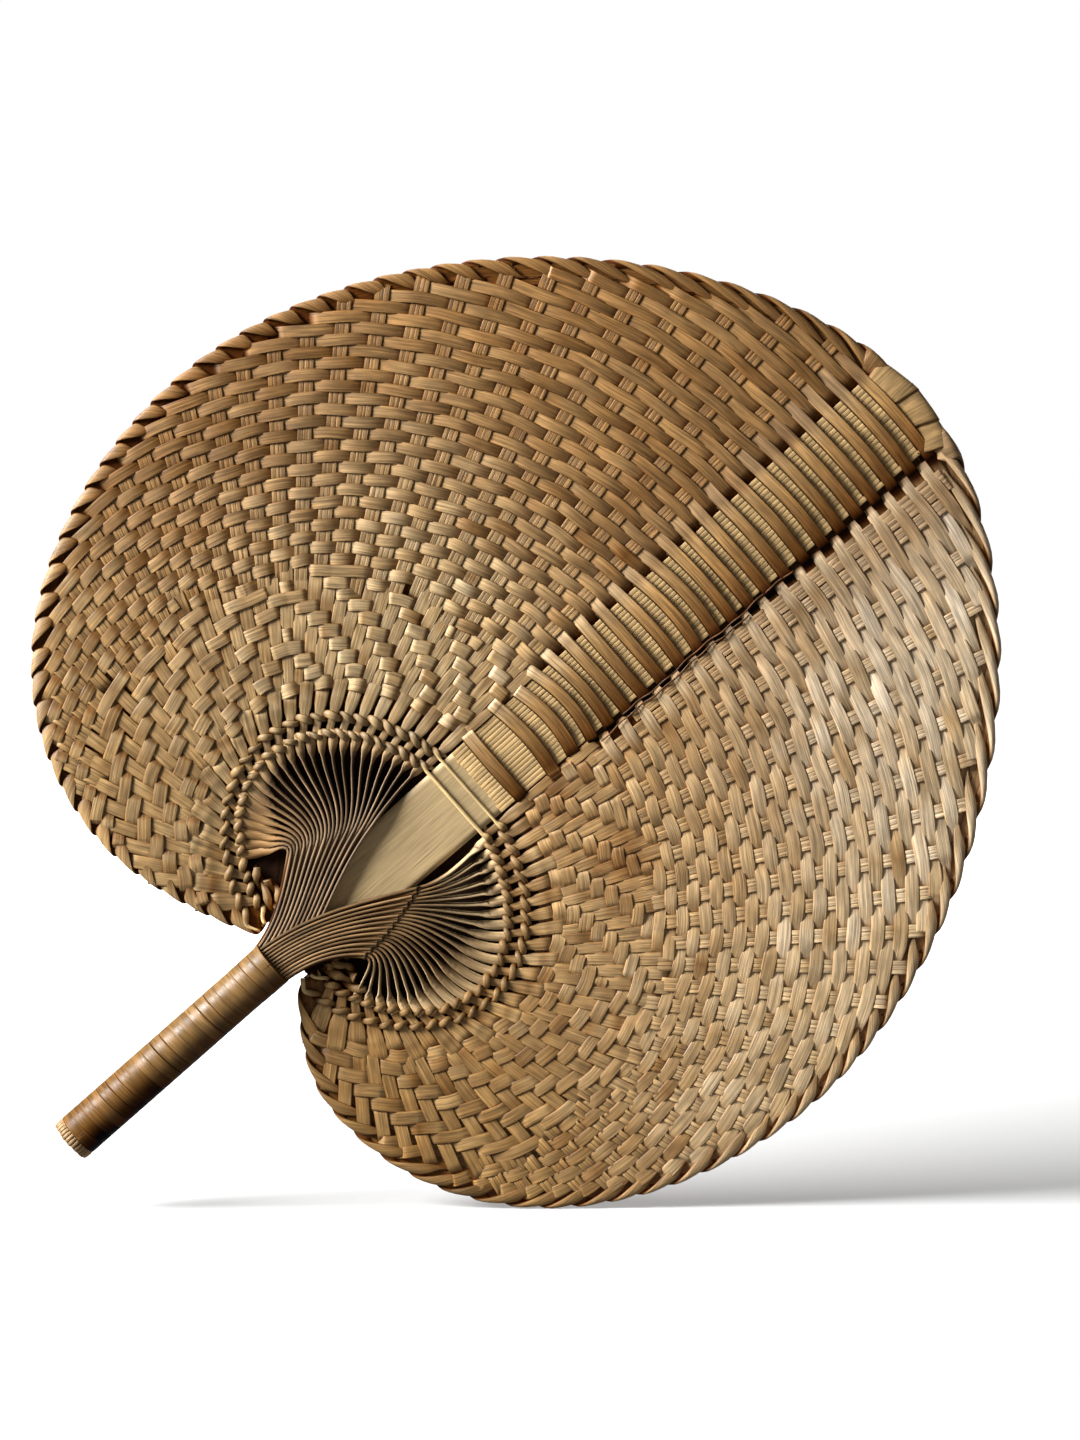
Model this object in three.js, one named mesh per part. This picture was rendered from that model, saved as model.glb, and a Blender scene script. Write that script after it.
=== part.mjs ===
// Woven palm leaf hand fan.
// Splints bound side by side make the handle, spread across an oval opening, run through the woven
// blade like the ribs of a leaf and fold over its edge. Wefts cross them, over and under in turn,
// and a stiff slat runs up the middle. Everything is held by weaving and winding, and nothing moves.
//
// The fan is drawn flat: x across the blade, y along its centre line from the mouth of the handle,
// z out of its front face. Groups at the end of the file stand it up.

import * as THREE from "three";

// Sizes that several pieces share, in millimetres
const CLEARANCE = 0.3;
const LEAN_DEGREES = 41.45;

// Outline of the blade
const TIP_HEIGHT = 302;
const TIP_DROP = 8;
const BELLY_HEIGHT = 110;
const BELLY_REACH_UP = 85;
const BELLY_REACH_DOWN = 62;
const NOTCH_ACROSS = 9;
const NOTCH_HEIGHT = 4;
const LEFT = { name: "left", side: -1, belly: 175, tipReach: 90, lobeAcross: 72, lobeDrop: 17 };
const RIGHT = { name: "right", side: 1, belly: 163, tipReach: 84, lobeAcross: 56, lobeDrop: 19 };
const LOBE_REACH_OUT = 68;
const LOBE_REACH_IN = 22;
const NOTCH_REACH_ACROSS = 11;
const NOTCH_REACH_DOWN = 8;

// Oval opening above the handle
const RIM_HEIGHT = 47;
const RIM_HALF_WIDTH = 54;
const RIM_HALF_HEIGHT = 38.5;
const RIM_END_ACROSS = 12;

// Slat up the middle
const SLAT_THICKNESS = 1.6;
const SLAT_NECK_WIDTH = 25.5;
const SLAT_TIP_WIDTH = 33;
const TANG_WIDTH = 8.4;
const SHOULDER_START = 6;
const SHOULDER_END = 34;

// Handle
const WRAP_LENGTH = 92;
const WRAP_TURNS = 22;
const WRAP_THICKNESS = 0.8;
const WRAP_GAP = 0.55;
const BUTT_LENGTH = 3.8;
const BUNDLE_RADIUS = 6.9;

// Splints
const SPLINTS_PER_HALF = 14;
const SPLINT_THICKNESS = 0.45;
const SPLINT_NECK_WIDTH = 4;
const SPLINT_RIM_WIDTH = 4.2;
const SPLINT_WIDENING = 0.042;
const ROOT_HALF_SPAN = 5.6;
const NECK_RISE_SLAT_SIDE = 42;
const NECK_RISE_NOTCH_SIDE = 8;
const NECK_REACH_SLAT_SIDE = 30;
const NECK_REACH_NOTCH_SIDE = 5;
const NECK_FANNING = 1.5;
const TWIST_START = 0.45;
const TWIST_END = 0.95;
const LAYER_END = 0.3;
const NOTCH_SPARE = 0.6;

// Wefts, twining round the opening, and the strip under the folded edge
const WEFT_ROWS = 20;
const WEFT_FILL = 0.717;
const WEFT_THICKNESS = 0.6;
const FIRST_WEFT = 16;
const LAST_WEFT_SPARE = 2;
const TWINE_ROWS = [1.6, 7.6];
const TWINE_WIDTH = 1.1;
const TWINE_THICKNESS = 0.8;
const EDGE_WIDTH = 5;
const EDGE_THICKNESS = 0.6;

// Facets
const WRAP_STEPS = 16;
const NECK_STEPS = 12;

// Sizes that follow from those above
const HANDLE_AXIS = Math.sqrt(BUNDLE_RADIUS ** 2 - (TANG_WIDTH / 2) ** 2) - SLAT_THICKNESS / 2;
const EDGE_INSET = SPLINT_THICKNESS + 2 * CLEARANCE;
const EDGE_DEPTH = EDGE_INSET + EDGE_WIDTH;
const WEAVE_GAP = (WEFT_THICKNESS + SPLINT_THICKNESS) / 2 + CLEARANCE;
const WEAVE_RISE = WEAVE_GAP / (2 - WEFT_FILL);
const SLAT_PASS = (SLAT_THICKNESS + WEFT_THICKNESS) / 2 + CLEARANCE;
const FOLD_PASS = (EDGE_THICKNESS + SPLINT_THICKNESS) / 2 + CLEARANCE;
const TWINE_PASS = (TWINE_THICKNESS + SPLINT_THICKNESS) / 2 + CLEARANCE;
const TWINE_SLAT_PASS = (TWINE_THICKNESS + SLAT_THICKNESS) / 2 + CLEARANCE;
const LEFT_LAYER_BASE = SLAT_THICKNESS / 2 + CLEARANCE;
const RIGHT_LAYER_BASE = LEFT_LAYER_BASE + SPLINT_NECK_WIDTH + CLEARANCE;

const UP = new THREE.Vector3(0, 0, 1);
const HALVES = [LEFT, RIGHT];

const material = (color, roughness) => new THREE.MeshStandardMaterial({ color, roughness, metalness: 0 });

const MATERIALS = {
  slat: material(0xd9bd86, 0.55),
  splint: material(0xa87842, 0.6),
  weft: material(0xb98c50, 0.6),
  edge: material(0xa67a44, 0.6),
  twine: material(0xc39a5e, 0.6),
  wrap: material(0x9a6430, 0.4),
};

const flat = (point, height = 0) => new THREE.Vector3(point.x, point.y, height);

const { lerp, smoothstep } = THREE.MathUtils;

// Half the width of the slat at a height above the mouth of the handle
function slatHalfWidth(height) {
  const shoulder = smoothstep(height, SHOULDER_START, SHOULDER_END);
  const rise = Math.max(0, height - SHOULDER_END) / (TIP_HEIGHT - SHOULDER_END);
  const widening = (SLAT_TIP_WIDTH - SLAT_NECK_WIDTH) * rise;
  return (TANG_WIDTH + (SLAT_NECK_WIDTH - TANG_WIDTH) * shoulder + widening) / 2;
}

// Half the width of a splint at a distance from the rim
const splintHalfWidth = (distance) => (SPLINT_RIM_WIDTH + SPLINT_WIDENING * distance) / 2;

// Border of one half, from the tip round the belly and the lobe to the notch beside the handle
function borderPath(half) {
  const tip = new THREE.Vector2(0, TIP_HEIGHT);
  const belly = new THREE.Vector2(half.belly, BELLY_HEIGHT);
  const lobe = new THREE.Vector2(half.lobeAcross, -half.lobeDrop);
  const notch = new THREE.Vector2(NOTCH_ACROSS, NOTCH_HEIGHT);
  const path = new THREE.CurvePath();
  path.add(new THREE.CubicBezierCurve(
    tip,
    new THREE.Vector2(half.tipReach, TIP_HEIGHT - TIP_DROP),
    new THREE.Vector2(half.belly, BELLY_HEIGHT + BELLY_REACH_UP),
    belly,
  ));
  path.add(new THREE.CubicBezierCurve(
    belly,
    new THREE.Vector2(half.belly, BELLY_HEIGHT - BELLY_REACH_DOWN),
    new THREE.Vector2(half.lobeAcross + LOBE_REACH_OUT, -half.lobeDrop),
    lobe,
  ));
  path.add(new THREE.CubicBezierCurve(
    lobe,
    new THREE.Vector2(half.lobeAcross - LOBE_REACH_IN, -half.lobeDrop),
    new THREE.Vector2(NOTCH_ACROSS + NOTCH_REACH_ACROSS, NOTCH_HEIGHT - NOTCH_REACH_DOWN),
    notch,
  ));
  return path;
}

// Share of a path at which it first lies as far across as the given width
function shareAtWidth(path, width) {
  let low = 0;
  let high = 0.2;
  for (let step = 0; step < 40; step += 1) {
    const middle = (low + high) / 2;
    if (path.getPoint(middle).x < width) low = middle;
    else high = middle;
  }
  return high;
}

// Places on one half of the blade. A share of 0 is beside the slat and 1 is beside the handle;
// the distance is measured outward from the rim of the opening.
function halfGrid(half) {
  const rimStart = Math.acos((slatHalfWidth(RIM_HEIGHT + RIM_HALF_HEIGHT) + CLEARANCE) / RIM_HALF_WIDTH);
  const rimEnd = -Math.acos(RIM_END_ACROSS / RIM_HALF_WIDTH);
  const rimCurve = new THREE.EllipseCurve(
    0, RIM_HEIGHT, RIM_HALF_WIDTH, RIM_HALF_HEIGHT, rimStart, rimEnd, true,
  );
  const border = borderPath(half);
  const start = shareAtWidth(border, slatHalfWidth(TIP_HEIGHT) + CLEARANCE);
  const mirror = (point) => new THREE.Vector2(point.x * half.side, point.y);
  const rimAt = (share) => mirror(rimCurve.getPointAt(share));
  const borderAt = (share) => mirror(border.getPoint(start + (1 - start) * share));
  const depth = (share) => rimAt(share).distanceTo(borderAt(share));
  const outward = (share) => borderAt(share).sub(rimAt(share)).normalize();
  const at = (share, distance) => rimAt(share).addScaledVector(outward(share), distance);
  const step = 0.002;
  const rowDirection = (share, distance) => (
    at(Math.min(1, share + step), distance).sub(at(Math.max(0, share - step), distance)).normalize()
  );
  const splintShare = (index) => (index + 0.5) / (SPLINTS_PER_HALF + NOTCH_SPARE);
  // Share taken up, on a row, by half the width of the splint that it crosses there
  const splintReach = (share, distance) => {
    const skew = Math.abs(rowDirection(share, distance).cross(outward(share)));
    const reach = splintHalfWidth(distance) / skew + CLEARANCE;
    const scale = at(share + step, distance).distanceTo(at(share - step, distance)) / (2 * step);
    return reach / scale;
  };
  return { half, at, borderAt, depth, outward, splintShare, splintReach };
}

const GRIDS = HALVES.map(halfGrid);

// A closed strip through stations, each with its centre, half its width and half its thickness
function ribbon(stations) {
  const corners = stations.flatMap(({ centre, width, thick }) => [
    centre.clone().add(width).add(thick),
    centre.clone().sub(width).add(thick),
    centre.clone().sub(width).sub(thick),
    centre.clone().add(width).sub(thick),
  ]);
  const faces = [0, 3, 2, 0, 2, 1];
  for (let ring = 0; ring < stations.length - 1; ring += 1) {
    for (let side = 0; side < 4; side += 1) {
      const a = 4 * ring + side;
      const b = 4 * ring + (side + 1) % 4;
      if (side < 2) faces.push(a, b, b + 4, a, b + 4, a + 4);
      else faces.push(a, b, a + 4, b, b + 4, a + 4);
    }
  }
  const last = 4 * (stations.length - 1);
  faces.push(last, last + 1, last + 2, last, last + 2, last + 3);
  const geometry = new THREE.BufferGeometry();
  geometry.setAttribute("position", new THREE.Float32BufferAttribute(corners.flatMap((c) => c.toArray()), 3));
  geometry.setIndex(faces);
  geometry.computeVertexNormals();
  return geometry;
}

function piece(name, geometry, look) {
  const mesh = new THREE.Mesh(geometry, look);
  mesh.name = name;
  return mesh;
}

// Slat: a thin plate from the butt of the handle to the tip, narrowed where the handle holds it
function slat() {
  const top = GRIDS[0].borderAt(0).y - EDGE_INSET;
  const third = (SHOULDER_END - SHOULDER_START) / 3;
  const tang = TANG_WIDTH / 2;
  const neck = SLAT_NECK_WIDTH / 2;
  const tip = slatHalfWidth(top);
  const butt = -WRAP_LENGTH - BUTT_LENGTH;
  const shape = new THREE.Shape();
  shape.moveTo(-tang, butt);
  shape.lineTo(tang, butt);
  shape.lineTo(tang, SHOULDER_START);
  shape.bezierCurveTo(tang, SHOULDER_START + third, neck, SHOULDER_END - third, neck, SHOULDER_END);
  shape.lineTo(tip, top);
  shape.lineTo(-tip, top);
  shape.lineTo(-neck, SHOULDER_END);
  shape.bezierCurveTo(-neck, SHOULDER_END - third, -tang, SHOULDER_START + third, -tang, SHOULDER_START);
  const geometry = new THREE.ExtrudeGeometry(shape, {
    depth: SLAT_THICKNESS, bevelEnabled: false, curveSegments: 8,
  });
  return piece("centre_slat", geometry.translate(0, 0, -SLAT_THICKNESS / 2), MATERIALS.slat);
}

// Weft rows: a set number, spread evenly between the opening and the tip. Each fills its share of the
// pitch, and the last one stops short of the edge strip.
const WEFT_ROOM = Math.min(...GRIDS.map((grid) => grid.depth(0)))
  - FIRST_WEFT - EDGE_DEPTH - CLEARANCE - LAST_WEFT_SPARE;
const WEFT_PITCH = WEFT_ROOM / (WEFT_ROWS - 1 + WEFT_FILL / 2);
const WEFT_WIDTH = WEFT_FILL * WEFT_PITCH;
const WEFTS = Array.from({ length: WEFT_ROWS }, (_, row) => FIRST_WEFT + row * WEFT_PITCH);

// Largest share that a weft reaches before it runs out at the edge strip
function weftEnd(grid, distance) {
  const needed = distance + WEFT_WIDTH / 2 + EDGE_DEPTH + CLEARANCE;
  const probes = 400;
  let reached = 0;
  for (let probe = 0; probe <= probes; probe += 1) {
    if (grid.depth(probe / probes) < needed) break;
    reached = probe / probes;
  }
  return reached;
}

// Splints that a weft crosses on one half, and the share at which the weft then stops
function weftReach(grid, distance) {
  const end = weftEnd(grid, distance);
  let crossed = 0;
  while (crossed < SPLINTS_PER_HALF) {
    const share = grid.splintShare(crossed);
    if (share + grid.splintReach(share, distance) > end) break;
    crossed += 1;
  }
  if (crossed === SPLINTS_PER_HALF) return { crossed, end };
  const blocked = grid.splintShare(crossed);
  return { crossed, end: Math.min(end, blocked - grid.splintReach(blocked, distance)) };
}

const REACHES = GRIDS.map((grid) => WEFTS.map((distance) => weftReach(grid, distance)));

// Whether a weft lies over (1) or under (-1) a splint; it passes the slat the other way
const weftSide = (row, splint) => ((row + splint) % 2 === 0 ? -1 : 1);
const weftSlatSide = (row) => (row % 2 === 0 ? 1 : -1);

// Stations of one half of a weft, from the slat outward
function weftHalf(grid, row, reach) {
  const distance = WEFTS[row];
  const stop = (share, height) => ({
    centre: flat(grid.at(share, distance), height),
    width: flat(grid.outward(share)).multiplyScalar(WEFT_WIDTH / 2),
    thick: UP.clone().multiplyScalar(WEFT_THICKNESS / 2),
  });
  const stations = [stop(0, weftSlatSide(row) * SLAT_PASS)];
  for (let splint = 0; splint < reach.crossed; splint += 1) {
    const share = grid.splintShare(splint);
    const spread = grid.splintReach(share, distance);
    const height = weftSide(row, splint) * WEAVE_RISE;
    stations.push(stop(share - spread, height), stop(share + spread, height));
  }
  const tail = stations.at(-1).centre.z;
  if (reach.crossed > 0) stations.push(stop(reach.end, tail));
  return stations;
}

function weft(row) {
  const [left, right] = GRIDS.map((grid, half) => weftHalf(grid, row, REACHES[half][row]));
  const stations = [...left.reverse(), ...right];
  return piece(`weft_${String(row + 1).padStart(2, "0")}`, ribbon(stations), MATERIALS.weft);
}

// Twining strand: it passes the slat and the splints on alternate faces, beside a partner that
// passes them on the other faces, so the two twist round each other in each gap
function twineHalf(grid, distance, face) {
  const offset = face * (TWINE_WIDTH + CLEARANCE) / 2;
  const stop = (share, shift, height) => ({
    centre: flat(grid.at(share, distance + shift), height),
    width: flat(grid.outward(share)).multiplyScalar(TWINE_WIDTH / 2),
    thick: UP.clone().multiplyScalar(TWINE_THICKNESS / 2),
  });
  const stations = [stop(0, offset, face * TWINE_SLAT_PASS)];
  for (let splint = 0; splint < SPLINTS_PER_HALF; splint += 1) {
    const share = grid.splintShare(splint);
    const spread = grid.splintReach(share, distance);
    const height = face * (splint % 2 === 0 ? -1 : 1) * TWINE_PASS;
    stations.push(stop(share - spread, offset, height), stop(share + spread, offset, height));
  }
  return stations;
}

function twineStrand(row, strand) {
  const face = strand === 0 ? 1 : -1;
  const [left, right] = GRIDS.map((grid) => twineHalf(grid, TWINE_ROWS[row], face));
  const name = `rim_twine_${row + 1}_${strand === 0 ? "a" : "b"}`;
  return piece(name, ribbon([...left.reverse(), ...right]), MATERIALS.twine);
}

// Strip inside the folded edge, from one notch over the tip to the other
function edgeHalf(grid) {
  const middle = (EDGE_INSET + EDGE_DEPTH) / 2;
  const first = grid.splintShare(0);
  const shares = [first - grid.splintReach(first, grid.depth(first))];
  for (let splint = 0; splint < SPLINTS_PER_HALF; splint += 1) {
    shares.push(grid.splintShare(splint), (grid.splintShare(splint) + grid.splintShare(splint + 1)) / 2);
  }
  return shares.map((share) => ({
    centre: flat(grid.at(share, grid.depth(share) - middle)),
    width: flat(grid.outward(share)).multiplyScalar(EDGE_WIDTH / 2),
    thick: UP.clone().multiplyScalar(EDGE_THICKNESS / 2),
  }));
}

function edgeStrip() {
  const middle = (EDGE_INSET + EDGE_DEPTH) / 2;
  const overSlat = (EDGE_THICKNESS + SLAT_THICKNESS) / 2 + CLEARANCE;
  const [left, right] = GRIDS.map((grid) => [
    {
      centre: flat(grid.at(0, grid.depth(0) - middle), overSlat),
      width: flat(grid.outward(0)).multiplyScalar(EDGE_WIDTH / 2),
      thick: UP.clone().multiplyScalar(EDGE_THICKNESS / 2),
    },
    ...edgeHalf(grid),
  ]);
  return piece("edge_strip", ribbon([...left.reverse(), ...right]), MATERIALS.edge);
}

// Splint: root in the handle
function splintRoot(grid, index) {
  const across = grid.half.side * (2 * ROOT_HALF_SPAN * (index / (SPLINTS_PER_HALF - 1)) - ROOT_HALF_SPAN);
  const base = grid.half === LEFT ? LEFT_LAYER_BASE : RIGHT_LAYER_BASE;
  const outerFace = Math.abs(across) + SPLINT_THICKNESS;
  const room = HANDLE_AXIS + Math.sqrt(BUNDLE_RADIUS ** 2 - outerFace ** 2) - base;
  const width = Math.min(SPLINT_NECK_WIDTH, room);
  return { across, width, base };
}

// Station of a splint turned about its own length: 0 lies flat in the blade, 1 stands on edge
function turnedStation(point, direction, height, width, turn) {
  const angle = turn * Math.PI / 2;
  const beside = UP.clone().cross(flat(direction));
  return {
    centre: flat(point, height),
    width: beside.clone().multiplyScalar(Math.cos(angle)).addScaledVector(UP, -Math.sin(angle))
      .multiplyScalar(width / 2),
    thick: UP.clone().multiplyScalar(Math.cos(angle)).addScaledVector(beside, Math.sin(angle))
      .multiplyScalar(SPLINT_THICKNESS / 2),
  };
}

// Splint: neck, which bends out of the handle on edge, twists and lies down at the rim
function splintNeck(grid, index, root) {
  const { half } = grid;
  const share = grid.splintShare(index);
  const rim = grid.at(share, 0);
  const mouth = new THREE.Vector2(root.across, 0);
  const fanned = share ** NECK_FANNING;
  const rise = lerp(NECK_RISE_SLAT_SIDE, NECK_RISE_NOTCH_SIDE, fanned);
  const reach = lerp(NECK_REACH_SLAT_SIDE, NECK_REACH_NOTCH_SIDE, fanned);
  const curve = new THREE.CubicBezierCurve(
    mouth,
    new THREE.Vector2(root.across, rise),
    rim.clone().addScaledVector(grid.outward(share), -reach),
    rim,
  );
  const samples = Array.from({ length: NECK_STEPS }, (_, step) => {
    const part = step / NECK_STEPS;
    const turn = 1 - smoothstep(part, TWIST_START, TWIST_END);
    const point = curve.getPointAt(part);
    const width = root.width + (SPLINT_RIM_WIDTH - root.width) * part;
    const inner = point.x * half.side - Math.cos(turn * Math.PI / 2) * width / 2 - SPLINT_THICKNESS;
    const crossesOther = half === RIGHT && inner < ROOT_HALF_SPAN + 2 * CLEARANCE;
    const crossesSlat = inner < slatHalfWidth(point.y) + CLEARANCE;
    const direction = curve.getTangentAt(part);
    return { part, turn, point, width, direction, held: crossesOther || crossesSlat };
  });
  const lastHeld = samples.reduce((last, sample) => (sample.held ? sample.part : last), 0);
  return samples.map(({ part, turn, point, width, direction }) => {
    const height = (root.base + width / 2) * (1 - smoothstep(part, Math.max(lastHeld, LAYER_END), 1));
    return turnedStation(point, direction, height, width, half.side * turn);
  });
}

// Splint: run through the weave from the rim, over and under the wefts that reach it
function splintRun(grid, index, half) {
  const share = grid.splintShare(index);
  const direction = grid.outward(share);
  const stop = (distance, height) => turnedStation(
    grid.at(share, distance), direction, height, 2 * splintHalfWidth(distance), 0,
  );
  const stations = [stop(0, 0), stop(TWINE_ROWS.at(-1) + TWINE_WIDTH + CLEARANCE, 0)];
  WEFTS.forEach((distance, row) => {
    if (REACHES[half][row].crossed > index) {
      stations.push(stop(distance, -weftSide(row, index) * WEAVE_RISE));
    }
  });
  return stations;
}

// Splint: end folded round the edge strip, on the face that the splint already lies on
function splintFold(grid, index, face) {
  const share = grid.splintShare(index);
  const depth = grid.depth(share);
  const direction = grid.outward(share);
  const beside = UP.clone().cross(flat(direction));
  const border = flat(grid.borderAt(Math.min(1, share + 0.01)).sub(grid.borderAt(share - 0.01))).normalize();
  border.multiplyScalar(Math.sign(border.dot(beside)));
  const reach = splintHalfWidth(depth) / Math.abs(border.dot(beside));
  const outwardNormal = border.clone().cross(UP);
  const stop = (inset, height, thick) => ({
    centre: flat(grid.at(share, depth - inset), height),
    width: border.clone().multiplyScalar(reach),
    thick: thick.clone().multiplyScalar(SPLINT_THICKNESS / 2),
  });
  const down = UP.clone().negate();
  return [
    stop(EDGE_DEPTH, face * FOLD_PASS, UP),
    stop(FOLD_PASS, face * FOLD_PASS, UP),
    stop(SPLINT_THICKNESS / 2, 0, outwardNormal.multiplyScalar(face)),
    stop(FOLD_PASS, -face * FOLD_PASS, down),
    stop(EDGE_DEPTH, -face * FOLD_PASS, down),
  ];
}

function splint(half, index) {
  const grid = GRIDS[half];
  const root = splintRoot(grid, index);
  const butt = new THREE.Vector2(root.across, -WRAP_LENGTH - BUTT_LENGTH);
  const upward = new THREE.Vector2(0, 1);
  const start = turnedStation(butt, upward, root.base + root.width / 2, root.width, grid.half.side);
  const run = splintRun(grid, index, half);
  const last = run.at(-1).centre.z;
  const face = last === 0 ? weftSide(0, index) : Math.sign(last);
  const stations = [start, ...splintNeck(grid, index, root), ...run, ...splintFold(grid, index, face)];
  const name = `${grid.half.name}_splint_${String(index + 1).padStart(2, "0")}`;
  return piece(name, ribbon(stations), MATERIALS.splint);
}

// Winding: one flat strip wound round the splints from the butt to the mouth of the handle
function handleWrap() {
  const inner = (BUNDLE_RADIUS + CLEARANCE) / Math.cos(Math.PI / WRAP_STEPS);
  const radius = inner + WRAP_THICKNESS / 2;
  const pitch = WRAP_LENGTH / WRAP_TURNS;
  const halfWidth = (pitch - WRAP_GAP) / 2;
  const length = WRAP_LENGTH - 2 * halfWidth;
  const steps = Math.floor((length / pitch) * WRAP_STEPS);
  const stations = Array.from({ length: steps + 1 }, (_, step) => {
    const angle = (2 * Math.PI * step) / WRAP_STEPS;
    const outward = new THREE.Vector3(Math.sin(angle), 0, Math.cos(angle));
    const height = -WRAP_LENGTH + halfWidth + (pitch * step) / WRAP_STEPS;
    return {
      centre: outward.clone().multiplyScalar(radius).add(new THREE.Vector3(0, height, HANDLE_AXIS)),
      width: new THREE.Vector3(0, halfWidth, 0),
      thick: outward.multiplyScalar(WRAP_THICKNESS / 2),
    };
  });
  const selfGap = Math.min(...stations.slice(WRAP_STEPS).map((next, step) => {
    const edge = stations[step].centre.clone().add(stations[step].width);
    return edge.distanceTo(next.centre.clone().sub(next.width));
  }));
  console.log(`handle winding: ${(steps / WRAP_STEPS).toFixed(1)} turns, least gap ${selfGap.toFixed(2)} mm`);
  return piece("handle_wrap", ribbon(stations), MATERIALS.wrap);
}

// The fan, drawn flat, with its origin moved to the middle of the grip
const blade = new THREE.Group();
blade.position.set(0, WRAP_LENGTH / 2, -HANDLE_AXIS);
blade.add(slat(), handleWrap(), edgeStrip());
TWINE_ROWS.forEach((_, row) => blade.add(twineStrand(row, 0), twineStrand(row, 1)));
WEFTS.forEach((_, row) => blade.add(weft(row)));
GRIDS.forEach((_, half) => {
  for (let index = 0; index < SPLINTS_PER_HALF; index += 1) blade.add(splint(half, index));
});

// Stand the fan up with its front towards -Y, then lean it as it is held
const upright = new THREE.Group();
upright.rotation.x = Math.PI / 2;
upright.add(blade);

const fan = new THREE.Group();
fan.rotation.y = THREE.MathUtils.degToRad(90 - LEAN_DEGREES);
fan.add(upright);

export default fan;
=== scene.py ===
# Woven palm leaf fan: the finished look of the part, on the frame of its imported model.
# The weave is laid out as the real one is: splints fan out from the handle, wefts run round the
# oval opening and pass over and under them, and the splints' ends bind the border.
# Lengths are in millimetres on the flat fan (across, along, out of its front) until they are placed.

import math

import bpy
import numpy as np
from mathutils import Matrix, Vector


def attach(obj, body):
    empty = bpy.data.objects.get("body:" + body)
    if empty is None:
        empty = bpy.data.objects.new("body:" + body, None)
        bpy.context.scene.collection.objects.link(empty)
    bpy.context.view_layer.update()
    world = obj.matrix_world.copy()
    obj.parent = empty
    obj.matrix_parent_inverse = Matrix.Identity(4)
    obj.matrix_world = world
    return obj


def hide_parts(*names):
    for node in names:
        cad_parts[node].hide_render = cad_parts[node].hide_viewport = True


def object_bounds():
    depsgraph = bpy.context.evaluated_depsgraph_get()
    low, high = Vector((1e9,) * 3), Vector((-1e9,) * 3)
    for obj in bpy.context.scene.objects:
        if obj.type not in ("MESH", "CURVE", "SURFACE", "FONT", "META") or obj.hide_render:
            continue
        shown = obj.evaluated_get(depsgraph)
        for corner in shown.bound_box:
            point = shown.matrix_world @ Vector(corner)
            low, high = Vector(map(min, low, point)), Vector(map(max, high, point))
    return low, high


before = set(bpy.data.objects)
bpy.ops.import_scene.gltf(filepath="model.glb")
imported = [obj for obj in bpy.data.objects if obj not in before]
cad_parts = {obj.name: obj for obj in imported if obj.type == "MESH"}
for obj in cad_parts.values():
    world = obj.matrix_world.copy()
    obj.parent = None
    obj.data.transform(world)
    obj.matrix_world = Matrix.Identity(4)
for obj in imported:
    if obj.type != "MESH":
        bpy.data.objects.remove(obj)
cad_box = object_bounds()
rng = np.random.default_rng(7)

# Outline, opening and handle, as in the part's source
CLEARANCE = 0.3
LEAN_DEGREES = 41.45
TIP_HEIGHT = 302.0
TIP_DROP = 8.0
BELLY_HEIGHT = 110.0
BELLY_REACH_UP = 85.0
BELLY_REACH_DOWN = 62.0
NOTCH_ACROSS = 9.0
NOTCH_HEIGHT = 4.0
LOBE_REACH_OUT = 68.0
LOBE_REACH_IN = 22.0
NOTCH_REACH_ACROSS = 11.0
NOTCH_REACH_DOWN = 8.0
LEFT = {"side": -1, "belly": 175.0, "tip": 90.0, "lobe": 72.0, "low": -17.0}
RIGHT = {"side": 1, "belly": 163.0, "tip": 84.0, "lobe": 56.0, "low": -19.0}
RIM_HEIGHT = 47.0
RIM_HALF_WIDTH = 54.0
RIM_HALF_HEIGHT = 38.5
RIM_END_ACROSS = 12.0
SLAT_THICKNESS = 1.6
SLAT_NECK_WIDTH = 25.5
SLAT_TIP_WIDTH = 33.0
TANG_WIDTH = 8.4
SHOULDER_START = 6.0
SHOULDER_END = 34.0
WRAP_LENGTH = 92.0
BUTT_LENGTH = 3.8
BUNDLE_RADIUS = 6.9
HANDLE_AXIS = math.sqrt(BUNDLE_RADIUS**2 - (TANG_WIDTH / 2) ** 2) - SLAT_THICKNESS / 2

# Counts and sizes of the real weave; where the halves differ, -1 is the left one and 1 the right one
RIM_SPLINTS = 26
TWILL_SPLINTS = 46
OUTER_SPLINTS = {-1: 40, 1: 38}
OUTER_SPREAD = {-1: (0.42, 0.14), 1: (0.525, 0.175)}
OUTER_START = 0.9
OUTER_HALF_WIDTH = {-1: 2.5, 1: 2.4}
SHARE_OF_BORDER = 14 / 14.6
TWILL_PITCH = 4.7
OUTER_PITCH = 4.05
FIRST_ROW = 15.5
RIM_ZONE = 22.0
TWILL_DEPTH = 46.0
TWILL_DEPTH_GROWTH = 32.0
TWILL_TURN = 20
ROW_END = 4.2
LAST_GAP = 0.002
STRIP_THICKNESS = 0.3
STRIP_CROWN = 0.1
SPLINT_CROWN = 0.07
# Painted shade on the narrow sides and the back of a strip
EDGE_SHADE = 0.5

ACROSS = np.array([1.0, 0.0, 0.0])
ALONG = np.array([0.0, 1.0, 0.0])
OUT = np.array([0.0, 0.0, 1.0])


# Curves on the flat fan
def smooth(value, start, end):
    part = np.clip((value - start) / (end - start), 0.0, 1.0)
    return part * part * (3 - 2 * part)


def unit(ways):
    return ways / np.linalg.norm(ways, axis=-1, keepdims=True)


def step_lengths(points):
    return np.linalg.norm(np.diff(points, axis=0), axis=1)


def spots(across, along, level):
    return np.stack(np.broadcast_arrays(across, along, level), -1)


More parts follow.
